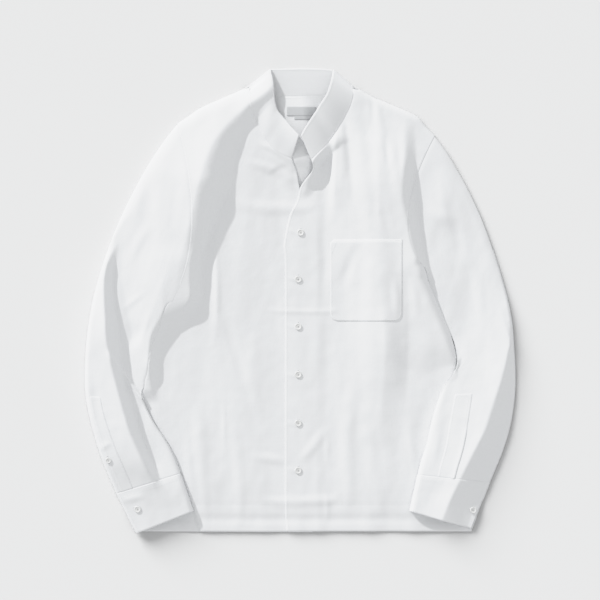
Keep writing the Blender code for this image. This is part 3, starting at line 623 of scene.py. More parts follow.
def blunt(x, y, lines, height, width=BLUNT, share=BLUNT_SHARE):
    """The height, brought down to 0 on the given edges by a rounded slope."""
    away = np.min([nearest(x, y, line)[0] for line in lines], axis=0)
    s = np.clip(away / (width + share * np.abs(height)), 0.0, 1.0)
    return height * np.sqrt(1.0 - (1.0 - s) ** 2)


def sleeve_rows(side, count=60):
    """Stations of a sleeve, as in its table."""
    rows = curve(SLEEVE[side], count)
    rows[:, 5] = np.clip(rows[:, 5], 0.0, 1.0)
    return rows


def edges(side):
    """The outer and inner edges of the body with the sleeve's start, and of the sleeve."""
    rows = sleeve_rows(side)
    outer = np.vstack([curve(SHOULDER[side], 30), rows[1:, :2]])
    seam = np.vstack([rows[ARMPIT_ROWS:0:-1, 2:4], curve(SIDE_SEAM[side], 60)])
    outer_end, inner_end = CUFF_END[side]
    return (outer, seam), (np.vstack([outer, outer_end]), np.vstack([rows[:, 2:4], inner_end]))


EDGES = {side: edges(side) for side in SIDES}
# Heights of the right sleeve and the armpit's cloth. A row holds its y, and then the x and
# the heights of the lines that run down the sleeve there, from the outer edge inwards.
LOFT_RIGHT = (
    (112, (-308, -303, -296, -290, -283, -266, -247, -224, -197, -184, -169, -144),
     (9, 11, 13, 12, 12, 17, 22, 28, 34, 35, 32, 8)),
    (86, (-321, -314, -308, -299, -291, -271, -247, -227, -207, -191, -176, -151),
     (10, 14, 20, 12.5, 12.5, 17.5, 23.5, 28.5, 33, 34.5, 32.5, 8)),
    (63, (-329, -324, -317, -304, -293, -271, -247, -229, -214, -196, -180, -156),
     (14, 18, 25, 13.5, 13.5, 18.5, 24.5, 29, 32.2, 33.5, 31.5, 8)),
    (33, (-336, -329, -322, -308, -293, -271, -250, -237, -225, -202, -181, -158),
     (20, 24, 29, 13.5, 13.5, 19, 24.2, 27.5, 30, 31.5, 30, 8)),
    (0, (-341, -332, -321, -306, -287, -271, -253, -247, -237, -214, -182, -159),
     (25, 29, 34, 14.5, 14.5, 18.2, 22.6, 24.3, 26.8, 28.5, 27.5, 8)),
    (-33, (-346, -334, -319, -301, -280, -270, -260, -257, -250, -233, -210, -181),
     (29, 33, 38, 15, 14.5, 17.5, 20.5, 21.7, 24.5, 25.5, 17, 8)),
    (-58, (-347, -336, -318, -298, -276, -270, -266, -265, -258, -245, -225, -204),
     (31, 34, 39.5, 14.5, 13.5, 15.5, 17, 17.8, 22, 25, 11, 6)),
    (-82, (-351, -336, -314, -295, -285, -280, -276, -275, -265, -248, -230, -217),
     (31, 34, 38.5, 14.5, 13.5, 15.2, 16.5, 17.2, 20.5, 24.5, 9, 5)),
    (-107, (-351, -332, -309, -293, -281, -276, -273, -270, -262, -248, -230, -217),
     (31, 34, 38, 14.5, 13, 14.5, 15.5, 16.5, 19, 24, 8, 4)),
    (-132, (-351, -329, -303, -287, -275, -271, -268, -263, -258, -247, -232, -217),
     (31, 34, 38, 14.5, 13, 13.8, 14.5, 15.5, 17, 18.5, 7.5, 4)),
    (-157, (-351, -324, -296, -280, -266, -263, -260, -255, -252, -243, -232, -217),
     (31.5, 34.5, 39.5, 14, 13.5, 13.8, 14.2, 14.8, 15.1, 15.2, 8.4, 4.5)),
    (-185, (-349, -318, -288, -272, -257, -250, -247, -243, -240, -233, -227, -217),
     (32, 35.5, 41, 13.5, 13.5, 16, 16.5, 16.5, 16.6, 16.4, 16.9, 15.2)),
    (-214, (-341, -308, -279, -263, -247, -237, -230, -227, -224, -217, -210, -200),
     (32, 36.5, 41.5, 13.5, 13.8, 16, 17, 17, 17.8, 18.8, 20.6, 21)),
    (-243, (-332, -296, -267, -252, -235, -222, -214, -210, -207, -200, -194, -184),
     (32, 36.5, 41.5, 13.8, 14.2, 16.5, 17, 17, 17.8, 18.8, 20.6, 21)),
    (-269, (-324, -283, -255, -240, -224, -210, -200, -197, -194, -187, -181, -171),
     (30, 34.5, 38.5, 14.5, 15, 17, 17, 17, 17.8, 18.8, 20.6, 21)),
    (-294, (-313, -270, -243, -229, -214, -197, -191, -187, -184, -177, -171, -161),
     (26, 28.5, 29.5, 19, 18, 17.5, 17, 17, 17.8, 18.8, 20.6, 21)),
    (-314, (-303, -260, -237, -219, -207, -191, -184, -181, -177, -171, -164, -154),
     (23, 24.5, 24.5, 21, 20, 18, 17.5, 17, 17.8, 18.8, 20.6, 21)),
    (-346, (-285, -253, -230, -210, -197, -179, -172, -169, -166, -159, -153, -143),
     (20, 21.5, 21.5, 20.5, 19, 17.5, 17, 17, 17.8, 18.8, 20.6, 21)),
    (-388, (-266, -243, -220, -200, -187, -169, -163, -159, -156, -149, -143, -133),
     (18, 19, 19.5, 18.5, 17.5, 17, 17, 17, 17.8, 18.8, 20.6, 21)),
)
# y at which the cloth of the armpit stops joining the body
LOFT_END = {"right": -170.0, "left": -122.0}


def loft(rows, passes):
    """A map of the heights between lines that run down the cloth, one for each column."""
    columns = zip(*([(x, y, height) for x, height in zip(xs, heights)]
                    for y, xs, heights in rows))
    lines = [curve(column, 60)[::-1] for column in columns]
    total = np.empty((len(MAP_Y), len(MAP_X)))
    for i, y in enumerate(MAP_Y):
        xs = [np.interp(y, line[:, 1], line[:, 0]) for line in lines]
        total[i] = np.interp(MAP_X, xs, [np.interp(y, line[:, 1], line[:, 2]) for line in lines])
    return softened(total, passes)


def higher(a, b, ease=3.0):
    """The higher of two heights, with the crease between them softened."""
    return (a + b + np.sqrt((a - b) ** 2 + ease ** 2)) / 2 - ease / 4


loft_maps = {"right": loft(LOFT_RIGHT, 2)}
# Creases, each a list of rows. Columns: x, y, height, reach.
BODY_CREASES = (
    ((64, 317, 0, 10), (68, 272, 1.4, 12), (70, 223, 1.4, 12), (67, 173, 0, 10)),
    ((87, 310, 0, 14), (97, 264, 2, 18), (106, 182, 2, 18), (113, 99, 1.5, 20), (115, 33, 2, 22),
     (116, -50, 1, 22), (118, -132, 0, 20)),
    ((123, 333, 0, 10), (130, 297, 1.6, 12), (139, 248, 0, 10)),
    ((148, 277, 0, 10), (154, 231, 1.4, 11), (161, 157, 0, 10)),
    ((72, 310, 0, 8), (78, 264, -1.4, 9), (85, 198, -1.2, 9), (87, 148, 0, 8)),
    ((115, 343, 0, 8), (120, 320, -1.2, 8), (123, 297, 0, 8)),
    ((138, 271, 0, 8), (143, 244, -1.2, 8), (146, 214, 0, 8)),
    ((133, 168, 0, 10), (141, 135, -1.4, 12), (149, 99, 0, 10)),
    ((67, 13, 0, 12), (80, 53, -1.8, 13), (93, 92, 0, 12)),
    ((34, 129, 0, 10), (40, 63, -1.6, 12), (37, -20, 0, 10)),
    ((-62, -15, 0, 6), (-24, -18, 0.9, 6), (42, -18, 0.9, 6), (64, -16, 0, 6)),
    ((-105, 160, 0, 14), (-62, 153, 1.6, 16), (1, 152, 1.4, 14), (27, 155, 0, 10)),
    ((-72, 259, 0, 8), (-49, 252, 1.6, 9), (-26, 239, 1.8, 9), (-6, 221, 0, 8)),
    ((-88, 231, 0, 10), (-62, 221, 1.5, 12), (-29, 208, 1.2, 12), (-9, 195, 0, 8)),
    ((-2, -267, 0, 10), (21, -241, 1.8, 13), (47, -205, 0, 10)),
    ((-82, -257, 0, 9), (-49, -261, 1.5, 12), (-16, -267, 0, 9)),
    ((44, -208, 0, 6), (45, -239, 1.2, 8), (45, -271, 0, 6)),
    ((42, -307, 0, 6), (45, -338, 1.3, 8), (44, -370, 0, 6)),
    ((-126, -157, 0, 5), (-125, -206, 1, 6), (-125, -256, 0, 5)),
    ((-138, 99, 0, 6), (-136, 16, 1.4, 8), (-136, -58, 0, 6)),
    ((-134, 25, 0, 12), (-111, -66, -1.6, 14), (-85, -168, 0, 12)),
    ((-167, -165, 0, 14), (-164, -231, 1.8, 18), (-158, -330, 1.2, 14), (-154, -376, 0.5, 10)),
    ((179, -214, 0, 8), (186, -251, 1.6, 12), (192, -287, 0, 8)),
    ((153, 40, 0, 9), (159, 3, 2.6, 12), (159, -36, 0, 9)),
    ((182, 40, 0, 9), (189, 3, 2, 12), (192, -36, 0, 9)),
    ((219, -148, 0, 16), (199, -214, -1.5, 20), (196, -297, 0, 16)),
    ((83, -66, 0, 14), (87, -148, 1.2, 18), (77, -231, 1.5, 18), (83, -330, 0.8, 14)),
    ((-82, -50, 0, 14), (-75, -132, 1.2, 18), (-62, -214, 0, 14)),
    ((-108, -198, 0, 12), (-101, -264, 1.4, 14), (-98, -363, 0.8, 12)),
    ((-62, -328, 0, 10), (-32, -332, 1.6, 13), (42, -330, 1.8, 13), (62, -327, 0, 8)),
    ((-247, -360, 0, 10), (-197, -360, -1, 12), (1, -361, -1.5, 12), (199, -360, -1, 12),
     (265, -360, 0, 10)),
    ((-187, -211, 0, 9), (-181, -280, 1.2, 11), (-167, -346, 0, 9)),
    ((110, -198, 0, 16), (120, -264, 1.4, 18), (133, -346, 0.8, 14)),
)
BUTTON_PULLS = tuple(((-21, y, 0, 5), (-14, y - 5, 0.9, 5), (-4, y - 10, 0, 4))
                     for y in (119, 41, -38, -119, -198, -274))
HEM_STITCH = -336.0
HEM_CREASE = ((-240, HEM_STITCH, -0.3, 6), (240, HEM_STITCH, -0.3, 6))
LEFT_RISE_TOP = 318.0   # y at which the left fold starts
left_rise = smooth((LEFT_RISE_TOP - MAP_Y) / 130.0)[:, None]
body_map = height_map(BODY_FOLDS, fold, 5) + height_map((RIDGE_LEFT,), fold, 5) * left_rise
body_map += height_map(BODY_CREASES + BUTTON_PULLS, crease, 1)
body_map += height_map((HEM_CREASE,), crease, 0)
body_map += wrinkles(10.0, 34.0, 0.5) + wrinkles(5.0, 7.0, 0.13) + wrinkles(3.0, 3.5, 0.03)


def body_height(x, y):
    """Height of the fronts over the flat lying cloth, away from their edges."""
    hem = HEM_AIR + (1.0 - HEM_AIR) * smooth((y - HEM_Y) / HEM_EASE)
    centre = CENTRE_AIR + (1.0 - CENTRE_AIR) * smooth((np.abs(x) - CENTRE) / CENTRE_EASE)
    return BODY_AIR * hem * centre + sample(body_map, x, y)


SIDE_LINE = {side: EDGES[side][0][1][ARMPIT_ROWS:] for side in SIDES}
SLEEVE_INNER = {side: sleeve_rows(side)[:, 2:4] for side in SIDES}


def past(x, y, lines, side):
    """How far points lie beyond this side's line, towards the middle of the body."""
    away, _, cross = nearest(x, y, lines[side])
    return np.where((cross > 0) == (side == "right"), away, -away)


# y, and height of the left front's edge at the armpit, where it comes down to the sleeve
ARMPIT_LEFT = (-122.0, -100.0, -70.0, 0.0, 35.0, 62.0), (0.0, 7.0, 5.2, 4.0, 5.0, 20.0)
COVERED = 3.2           # the right front sinks under the sleeve, and this far beside its edge,
COVERED_FROM = -2.0     # from this y down
COVERED_TO = -138.0     # y at which the strip beside the edge ends
COVERED_X = -150.0
COVERED_DEPTH = 2.0
LOBE_TOP = 100.0        # y from which the cloth of the right armpit joins the front, and the
LOBE_EDGE = -75.0       # x up to which it does


def body_relief(x, y, under_sleeve=0.0):
    """The same, brought down at the shoulders and at the sides below the armpits."""
    height = body_height(x, y)
    (outer_right, inner_right), (outer_left, inner_left) = (EDGES[side][0] for side in SIDES)
    lobe = sample(loft_maps["right"], x, y) - FRONT_TOP
    joined = smooth((y - LOFT_END["right"]) / 25.0) * smooth((LOBE_TOP - y) / 40.0)
    joined = joined * smooth((LOBE_EDGE - x) / 40.0)
    height = height + joined * (higher(height, lobe) - height)
    reach = COVERED * (1.0 - smooth((COVERED_TO - y) / 14.0))
    covered = smooth((reach - past(x, y, SLEEVE_INNER, "right")) / 2.5)
    covered = covered * smooth((COVERED_FROM - y) / 8.0) * (x < COVERED_X)
    height = height - under_sleeve * covered
    side = inner_right[inner_right[:, 1] < LOFT_END["right"] + 10]
    height = blunt(x, y, [outer_right, outer_left, side], height)
    base = np.minimum(np.interp(y, *ARMPIT_LEFT), height)
    return base + blunt(x, y, [inner_left], height - base)


def front_top(x, y):
    """Top of a front."""
    return FRONT_TOP + body_relief(x, y, under_sleeve=COVERED_DEPTH)


def left_front_top(x, y):
    """The same for the left front, with its lap."""
    return front_top(x, y) + LAP * (1.0 - smooth((x - LAP_EDGE) / 20.0))


def make_front(side, top_of):
    """One front from the hem to the shoulder, cut to the armhole and the neck."""
    low, high = np.linspace(0, 1, 155), np.linspace(0, 1, 110)      # rows from seam and armhole
    arm = armhole(side, 400)
    seam = spread(curve(SIDE_SEAM[side], 80)[::-1], low)
    edge = curve(FRONT_EDGE[side], 400)
    chest = np.searchsorted(edge[:, 1], CHEST_Y)
    neck = shifted(curve(NECK_SEAM[side], 60), INWARDS[side] * SEAM_GAP)[:-2]
    upper = np.vstack([edge[chest:-2], neck])
    outer = np.vstack([seam, spread(arm, high)[1:]])
    centre = np.vstack([spread(edge[:chest + 1], low), spread(upper, high)[1:]])
    across = np.r_[0.0, 0.003, 0.008, 0.015, np.linspace(0.024, 1.0, 104)]
    plan = between(outer, centre, across)
    bend = spread(curve(SHOULDER[side], 60)[::-1], across) - plan[-1]
    bend *= smooth((1.0 - across) / 0.12)[:, None]
    share = np.r_[np.zeros(len(low)), high[1:] ** 4]
    plan += share[:, None, None] * bend
    top = raised(plan, top_of)
    return panel("front_%s_panel" % side, body_linen, top, top - [0.0, 0.0, BAND])


front_right = make_front("right", front_top)
dress(front_right, "front_right")
front_left = make_front("left", left_front_top)
dress(front_left, "front_left")

stitch_rows = []


def sew(points, lift=0.06):
    """A row of stitches through these points, a little above the cloth."""
    stitch_rows.append(np.asarray(points, float) + [0.0, 0.0, lift])


def sew_on(line, top_of, count=160):
    """A row of stitches along a plan line on a surface."""
    sew(raised(curve(line, count), top_of))


EDGE_STITCH = 2.5       # from a folded edge to its row of stitches
ARMHOLE_STITCH = 1.8
sew_on(((-225, HEM_STITCH), (-100, HEM_STITCH), (-27, HEM_STITCH)), front_top)
sew_on(((-20, HEM_STITCH), (100, HEM_STITCH), (230, HEM_STITCH)), left_front_top)
sew_on(np.array(FRONT_EDGE["left"]) + [EDGE_STITCH, 0.0], left_front_top, 400)
for side in SIDES:
    sew_on(armhole(side, 60)[3:-6] + [INWARDS[side] * ARMHOLE_STITCH, 0.0], front_top)

# --- Sleeves -----------------------------------------------------------------------------
# Long sleeves, each one panel closed under the arm and set into the armhole. The upper arm
# lies beside the body, and the forearm is folded over the front with the cuff at the hem.

GAP = 0.3               # between the layers of a tube, where it lies flat
LAY = 0.4               # between a front and the sleeve on it
LOFT_LEFT = (           # as for the right sleeve, from the inner edge outwards
    (280, (191, 199, 205, 210, 215, 219, 222, 225), (9, 9, 9, 9, 8, 8, 7, 6)),
    (231, (189, 200, 212, 224, 232, 240, 245, 250), (7, 7.5, 9, 9.5, 9, 8, 7.5, 6)),
    (182, (189, 200, 215, 232, 248, 262, 271, 280), (6, 6.5, 10, 12.5, 11.5, 10, 8.5, 6)),
    (152, (189, 204, 217, 232, 252, 268, 281, 291), (6, 8, 11.5, 12.5, 11.5, 10, 8.5, 6)),
    (129, (192, 207, 219, 232, 257, 275, 291, 303), (7, 8.5, 10.5, 10.5, 10, 9, 8, 6)),
    (99, (196, 212, 225, 242, 265, 285, 301, 314), (7.2, 8, 7.5, 7.5, 7.5, 8, 8, 6)),
    (58, (205, 222, 235, 252, 275, 298, 318, 329), (8, 9, 8.5, 7.5, 7.5, 8, 8, 6)),
    (25, (215, 229, 242, 258, 278, 301, 324, 339), (8.4, 9, 8.5, 8, 7.5, 8, 8.5, 7)),
    (0, (222, 235, 248, 265, 285, 306, 328, 344), (8.4, 8.5, 8.5, 8, 8, 9, 11, 11)),
    (-20, (229, 242, 255, 271, 290, 309, 331, 347), (8.4, 8.5, 8.5, 8, 8.5, 10.5, 13.5, 13)),
    (-41, (235, 248, 262, 275, 291, 311, 337, 351), (8.4, 8.5, 8.5, 8.5, 10, 12.5, 16, 13)),
    (-66, (243, 257, 268, 280, 293, 308, 346, 354), (8.8, 8.8, 10, 10.8, 12, 13.5, 19, 8)),
    (-91, (252, 263, 271, 281, 293, 306, 341, 356), (10.2, 12, 12.6, 13, 13.8, 15, 20.5, 7)),
    (-116, (242, 248, 257, 266, 280, 306, 335, 357), (15.6, 16.2, 16.3, 15.8, 16, 18, 22.5, 5)),
    (-140, (222, 229, 240, 255, 271, 298, 328, 357), (14.2, 15.4, 15.9, 16.2, 17, 20, 24.5, 5)),
    (-165, (212, 219, 232, 252, 271, 295, 319, 357), (13.5, 15.2, 16, 17.2, 18.6, 21.8, 26, 5)),
    (-190, (207, 214, 229, 248, 268, 290, 311, 354), (14, 16, 17, 18.4, 20.2, 23.2, 27.5, 5)),
    (-214, (202, 210, 225, 245, 265, 285, 303, 349),
     (14.5, 16.7, 17.8, 19.2, 21.2, 24.2, 28.5, 5)),
    (-239, (199, 205, 222, 242, 260, 276, 290, 341), (15, 17.3, 18.6, 20.4, 22.6, 25.2, 29, 5)),
    (-264, (192, 200, 217, 235, 250, 265, 277, 334), (15.5, 17.8, 19.2, 21, 23.3, 26.3, 29.5, 5)),
    (-289, (187, 196, 212, 229, 242, 253, 265, 321), (15.5, 18, 19.5, 21.3, 23.3, 26, 29, 5)),
    (-314, (181, 189, 202, 217, 230, 243, 253, 309), (15, 17.6, 18.4, 19.4, 21.3, 24.3, 27.3, 5)),
    (-338, (176, 184, 196, 209, 220, 232, 242, 299), (14.5, 17, 17.8, 18.8, 20.8, 23.5, 26, 5)),
    (-363, (169, 177, 189, 202, 214, 225, 233, 293), (14, 16, 17, 18.2, 20, 22.8, 25, 5)),
    (-396, (159, 167, 179, 191, 202, 214, 222, 283), (12, 14, 15.5, 17, 19, 21.5, 23, 5)),
)
OVERLAP_RIGHT = (       # a small step where the upper arm folds over the forearm
    (-316, -81, 0, 6, 3, 1), (-308, -96, 3, 8, 3, 1), (-296, -112, 4, 8, 3, 1),
    (-280, -135, 4, 8, 3, 1), (-263, -158, 4, 8, 3, 1), (-252, -173, 1, 8, 3, 1),
)
CLIMB_START, CLIMB_EASE = 24.0, 18.0    # beyond the side seam, where a sleeve starts to climb
BESIDE_TOP = 70.0                       # y from which it lies on the edge of the back
LEAST = 0.3                             # least relief
SLEEVE_AIR = 8.0                        # between the layers near the armhole
SLEEVE_BLUNT = 2.5                      # width over which the outer edge rises, and its
SLEEVE_BLUNT_SHARE = 0.14               # share of the height, where the sleeve is puffed
PUFFED = {"right": 165.0, "left": 110.0}        # y below which it is
LIP = {"right": 2.0, "left": 7.0}       # the same at the inner edge, where it lies on the body
LIP_LOW = 7.0                           # the same in the lower half of the forearm
LIP_SHARE = 0.12
# how a sleeve goes down past its inner edge, where the front covers it: distance at which
# that starts, width of the change, y below which it does, and depth
SUNK = {"right": (2.0, 2.5, -2.0, 2.0), "left": (0.5, 3.0, 66.0, 0.5)}
UNDER = {"right": 9.0, "left": 5.0}     # how far it reaches under or over the body,
REACH_END = {"right": -150.0, "left": -114.0}   # and the y down to which it does
SLEEVE_EASE = 0.14      # share of its length in which its relief leaves the body's
DRAWN_IN = 0.9          # how far its side edges are drawn in, so that they can be rounded
TUCK = 2.2              # seam allowance under the edge of the front, and how far it is down
TUCK_DROP = 1.0
SLEEVE_COUNT = 221      # rows
CREASES_RIGHT = (
    ((-293, -16, 0, 6), (-273, 0, 1.3, 7), (-250, 18, 0, 6)),
    ((-210, 267, 0, 6), (-217, 249, 1.4, 7), (-227, 231, 0, 6)),
    ((-194, 182, 0, 5), (-184, 191, 0.9, 5), (-172, 198, 0, 5)),
    ((-204, 256, 0, 12), (-202, 182, -2, 13), (-210, 99, 0, 12)),
    ((-332, -248, 0, 6), (-319, -238, 1.3, 7), (-308, -233, 0, 5)),
    ((-299, -330, 0, 9), (-276, -325, 1.5, 10), (-253, -320, 0, 9)),
    ((-280, 63, 0, 12), (-263, 99, 1.6, 14), (-243, 129, 0, 12)),
    ((-339, -116, 0, 10), (-334, -165, -1.2, 12), (-326, -214, 0, 10)),
)
CREASES_LEFT = (
    ((199, 145, 0, 14), (229, 139, 2, 17), (265, 129, 0, 14)),
    ((202, 264, 0, 4), (214, 269, 1.1, 4), (227, 274, 0, 4)),
    ((209, 264, 0, 4), (196, 248, 1.4, 5), (182, 231, 0, 4)),
    ((242, 198, 0, 12), (252, 140, -1.6, 14), (268, 66, 0, 12)),
    ((281, 82, 0, 12), (295, 16, 1.4, 14), (301, -50, 0, 12)),
    ((232, -182, 0, 10), (225, -231, 1.4, 11), (215, -280, 0, 10)),
)
LOFT_START = {"right": (105.0, 45.0), "left": (265.0, 60.0)}     # y and width of the change
loft_maps["left"] = loft(LOFT_LEFT, 1)
loft_maps["right"] += height_map((OVERLAP_RIGHT,), fold, 0)
wrinkle_map = wrinkles(9.0, 22.0, 0.45) + wrinkles(5.0, 7.0, 0.13) + wrinkles(3.0, 3.5, 0.03)
crease_maps = {side: height_map(creases, crease, 1) + wrinkle_map
               for side, creases in (("right", CREASES_RIGHT), ("left", CREASES_LEFT))}
# the folds of the body run on over the start of the sleeves
sleeve_maps = {
    "right": height_map((RIDGE_RIGHT,), fold, 3) + crease_maps["right"],
    "left": height_map((RIDGE_LEFT[:10],), fold, 3) * left_rise + crease_maps["left"],
}


def sleeve_floor(x, y, side, climb):
    """Underside of a sleeve: the surface, or the front that it lies on."""
    depth = past(x, y, SIDE_LINE, side)
    over = climb * smooth((depth + CLIMB_START) / CLIMB_EASE)
    beside = (CLOTH + 0.2) * smooth((depth + 3.0) / 3.0) * smooth((BESIDE_TOP - y) / 20.0)
    return np.maximum(over * (FRONT_TOP + LAY + body_height(x, y)), beside)


def sleeve_relief(x, y, side, along, floor):
    """Relief of a sleeve, which starts as the body's at the armhole."""
    own = SLEEVE_AIR + sample(sleeve_maps[side], x, y)
    lofted = sample(loft_maps[side], x, y) + sample(crease_maps[side], x, y) - floor - FRONT_TOP
    start, ease = LOFT_START[side]
    own = own + smooth((start - y) / ease) * (lofted - own)
    own = np.maximum(own, LEAST)
    outer, inner = EDGES[side][1]
    puffed = smooth((PUFFED[side] - y) / 60.0)
    own = blunt(x, y, [outer], own, BLUNT + puffed * (SLEEVE_BLUNT - BLUNT),
                BLUNT_SHARE + puffed * (SLEEVE_BLUNT_SHARE - BLUNT_SHARE))
    lip = LIP[side] + (LIP_LOW - LIP[side]) * smooth((LOFT_END[side] - 25.0 - y) / 60.0)
    own = blunt(x, y, [inner[inner[:, 1] < LOFT_END[side] + 10]], own, lip, LIP_SHARE)
    share = smooth(along / SLEEVE_EASE)
    joined = (1.0 - share) * np.maximum(body_relief(x, y) - floor, LEAST) + share * own
    start, width, armpit, depth = SUNK[side]
    sunk = smooth((past(x, y, SLEEVE_INNER, side) - start) / width) * smooth((armpit - y) / 8.0)
    return joined - depth * sunk * smooth((y - LOFT_END[side]) / 10.0)


def sleeve_plan(side, rows, across):
    """Plan points of the rows of a sleeve, bowed towards the body near the armhole."""
    u = np.asarray(across)[None, :]
    plan = between(rows[:, :2], rows[:, 2:4], across)
    bow = rows[:, 4:5] * 2 * u * (1 - u)
    plan[..., 0] += INWARDS[side] * bow
    plan[..., 1] -= ARMHOLE_DROP / ARMHOLE_BOW[side] * bow
    return plan


ACROSS = np.r_[0.0, 0.006, 0.016, 0.03, np.linspace(0.05, 0.95, 44), 0.97, 0.984, 0.994, 1.0]


def sleeve_layers(side, plan, climb, along, wall):
    """Upper and lower layer of a flattened tube, with its side edges drawn in."""
    x, y = plan[..., 0], plan[..., 1]
    floor = sleeve_floor(x, y, side, climb)
    rise = 2 * wall + GAP + sleeve_relief(x, y, side, along, floor)
    low = np.stack([x, y, floor], -1)
    top = np.stack([x, y, floor + rise], -1)
    for layer in (low, top):
        for end, following in ((0, 3), (-1, -4)):
            inwards = unit(layer[:, following, :2] - layer[:, end, :2])
            layer[:, end, :2] += inwards * DRAWN_IN
    return top, low


def make_sleeve(side):
    """One sleeve. Its inner edge goes under the body at the armpit and over it lower down."""
    rows = sleeve_rows(side, SLEEVE_COUNT)
    along = np.linspace(0.0, 1.0, len(rows))
    reach = UNDER[side] * smooth((along + 0.01) / 0.02)
    reach *= smooth((rows[:, 3] - REACH_END[side]) / 16.0)
    outwards = unit(rows[:, :2] - rows[:, 2:4])
    if side == "left":
        edge = unit(np.gradient(rows[:, 2:4], axis=0))
        outwards = np.column_stack([-edge[:, 1], edge[:, 0]])
    rows[:, 2:4] -= outwards * reach[:, None]
    plan = sleeve_plan(side, rows, ACROSS)
    top, low = sleeve_layers(side, plan, rows[:, 5:6], along[:, None], CLOTH)
    tuck = unit(top[0] - top[2]) * TUCK
    for layer in (top, low):
        layer[0, :, :2] += tuck[:, :2]
    top[0, :, 2] -= TUCK_DROP
    top[1, :, 2] -= 0.3 * TUCK_DROP
    return tube("sleeve_%s_panel" % side, body_linen, top, low, CLOTH)


for side in SIDES:
    sleeve = make_sleeve(side)
    dress(sleeve, "sleeve_" + side)

# --- Cuffs -------------------------------------------------------------------------------
# A band of doubled linen round the end of each sleeve, about 66 mm deep. It is sewn over the
# sleeve's end, with a row of stitches along each of its edges, and closed by one button.

CUFF_ROWS = 40
CUFF_STEP = 0.3         # rise of the cuff over the sleeve's end


def make_cuff(side):
    """One cuff and its upper layer."""
    end = np.array(SLEEVE[side][-1], float)
    (ox, oy), (ix, iy) = CUFF_END[side]
    last = np.array([ox, oy, ix, iy, 0.0, 1.0])
    t = np.linspace(0.0, 1.0, CUFF_ROWS)[:, None]
    rows = end * (1 - t) + last * t
    plan = sleeve_plan(side, rows, ACROSS)
    top, low = sleeve_layers(side, plan, rows[:, 5:6], np.ones((CUFF_ROWS, 1)), BAND)
    # its first rows dip to the sleeve, so that the seam shows as a step
    top[..., 2] += CUFF_STEP * (smooth(t / 0.08) - 0.8 * (1.0 - smooth(t / 0.05)))
    return tube("cuff_%s_band" % side, body_linen, top, low, BAND), top


for side in SIDES:
    cuff, cuff_layer = make_cuff(side)
    dress(cuff, "cuff_" + side)
    for row in (1, 5, CUFF_ROWS - 2):
        sew(cuff_layer[row, 4:-4])
    for column in (4, -5):
        sew(cuff_layer[1:-1, column])

# --- Sleeve plackets ---------------------------------------------------------------------
# The strip of linen that is sewn on the sleeve beside its slit, above each cuff. Its edges
# are turned in and stitched down, and the left one stands up a little along the slit.

PLACKETS = {"right": (0.085, 0.27), "left": (0.50, 0.73)}      # its sides, across the sleeve
PLACKET_ROWS, PLACKET_COLUMNS = 58, 12  # the rows are the sleeve's
PLACKET_SLANT = {"right": 0.0, "left": 0.075}
PLACKET_RISE = {"right": 0.4, "left": 0.25}
SLIT_TOP = -206.0
SLIT_STEP = {"right": 0.0, "left": 0.9}
for side, (first, last) in PLACKETS.items():
    rows = sleeve_rows(side, SLEEVE_COUNT)[-PLACKET_ROWS:]
    along = np.linspace(0.0, 1.0, SLEEVE_COUNT)[-PLACKET_ROWS:, None]
    across = np.linspace(first, last, PLACKET_COLUMNS)
    t = np.linspace(0.0, 1.0, PLACKET_ROWS)[:, None, None]
    plan = (sleeve_plan(side, rows, across + PLACKET_SLANT[side]) * (1 - t)
            + sleeve_plan(side, rows, across) * t)
    x, y = plan[..., 0], plan[..., 1]
    floor_z = sleeve_floor(x, y, side, 1.0)
    z = floor_z + FRONT_TOP + sleeve_relief(x, y, side, along, floor_z)
    low = np.stack([x, y, z], -1)
    rise = np.full(low.shape[:2], PLACKET_RISE[side])
    rise[:, :2] += SLIT_STEP[side] * smooth((SLIT_TOP - y[:, :2]) / 12.0)
    top = low + rise[..., None] * np.array([0.0, 0.0, 1.0])
    strip = panel("placket_%s_strip" % side, body_linen, top, low - [0.0, 0.0, 0.1])
    sew(np.vstack([top[:1:-1, 2], top[2, 2:-1], top[2:, -2]]))
    dress(strip, "sleeve_placket_" + side)

# --- Collar ------------------------------------------------------------------------------
# A band collar of doubled linen, one strip round the neck, sewn on at its lower edge and
# folded over at both sides, so that its front ends stand up and its back lies flat.

COLLAR_EDGE = {
    "right": ((-2, 271, 32), (-14, 284, 27), (-26, 299, 22), (-36, 311, 20), (-40, 322, 19),
              (-42, 333, 18), (-43, 348, 16), (-45, 363, 12), (-49, 381, 5.1)),
    "left": ((2, 271, 31), (9, 284, 31), (18, 298, 31), (26, 310, 30), (34, 323, 29),
             (42, 335, 27), (47, 346, 25), (52, 363, 18), (55, 380, 5.1)),
}
BACK_EDGE = ((-49, 381), (-24, 382), (2, 383), (31, 382), (55, 380))
BACK_COUNT = 64         # stations of the back half
COLLAR_BELLY = {"right": 8.0, "left": 2.0}      # how far a front half arches up
COLLAR_COUNT = 90       # stations of a front half
COLLAR_SETTLE = 0.1     # share of it in which its seam comes down to the folded side
COLLAR_TURN = 2.1       # radius of the folded side
COLLAR_COLUMNS = 19     # columns from the seam to the upper edge
COLLAR_LIFT = 0.12      # from the cloth to its stitches


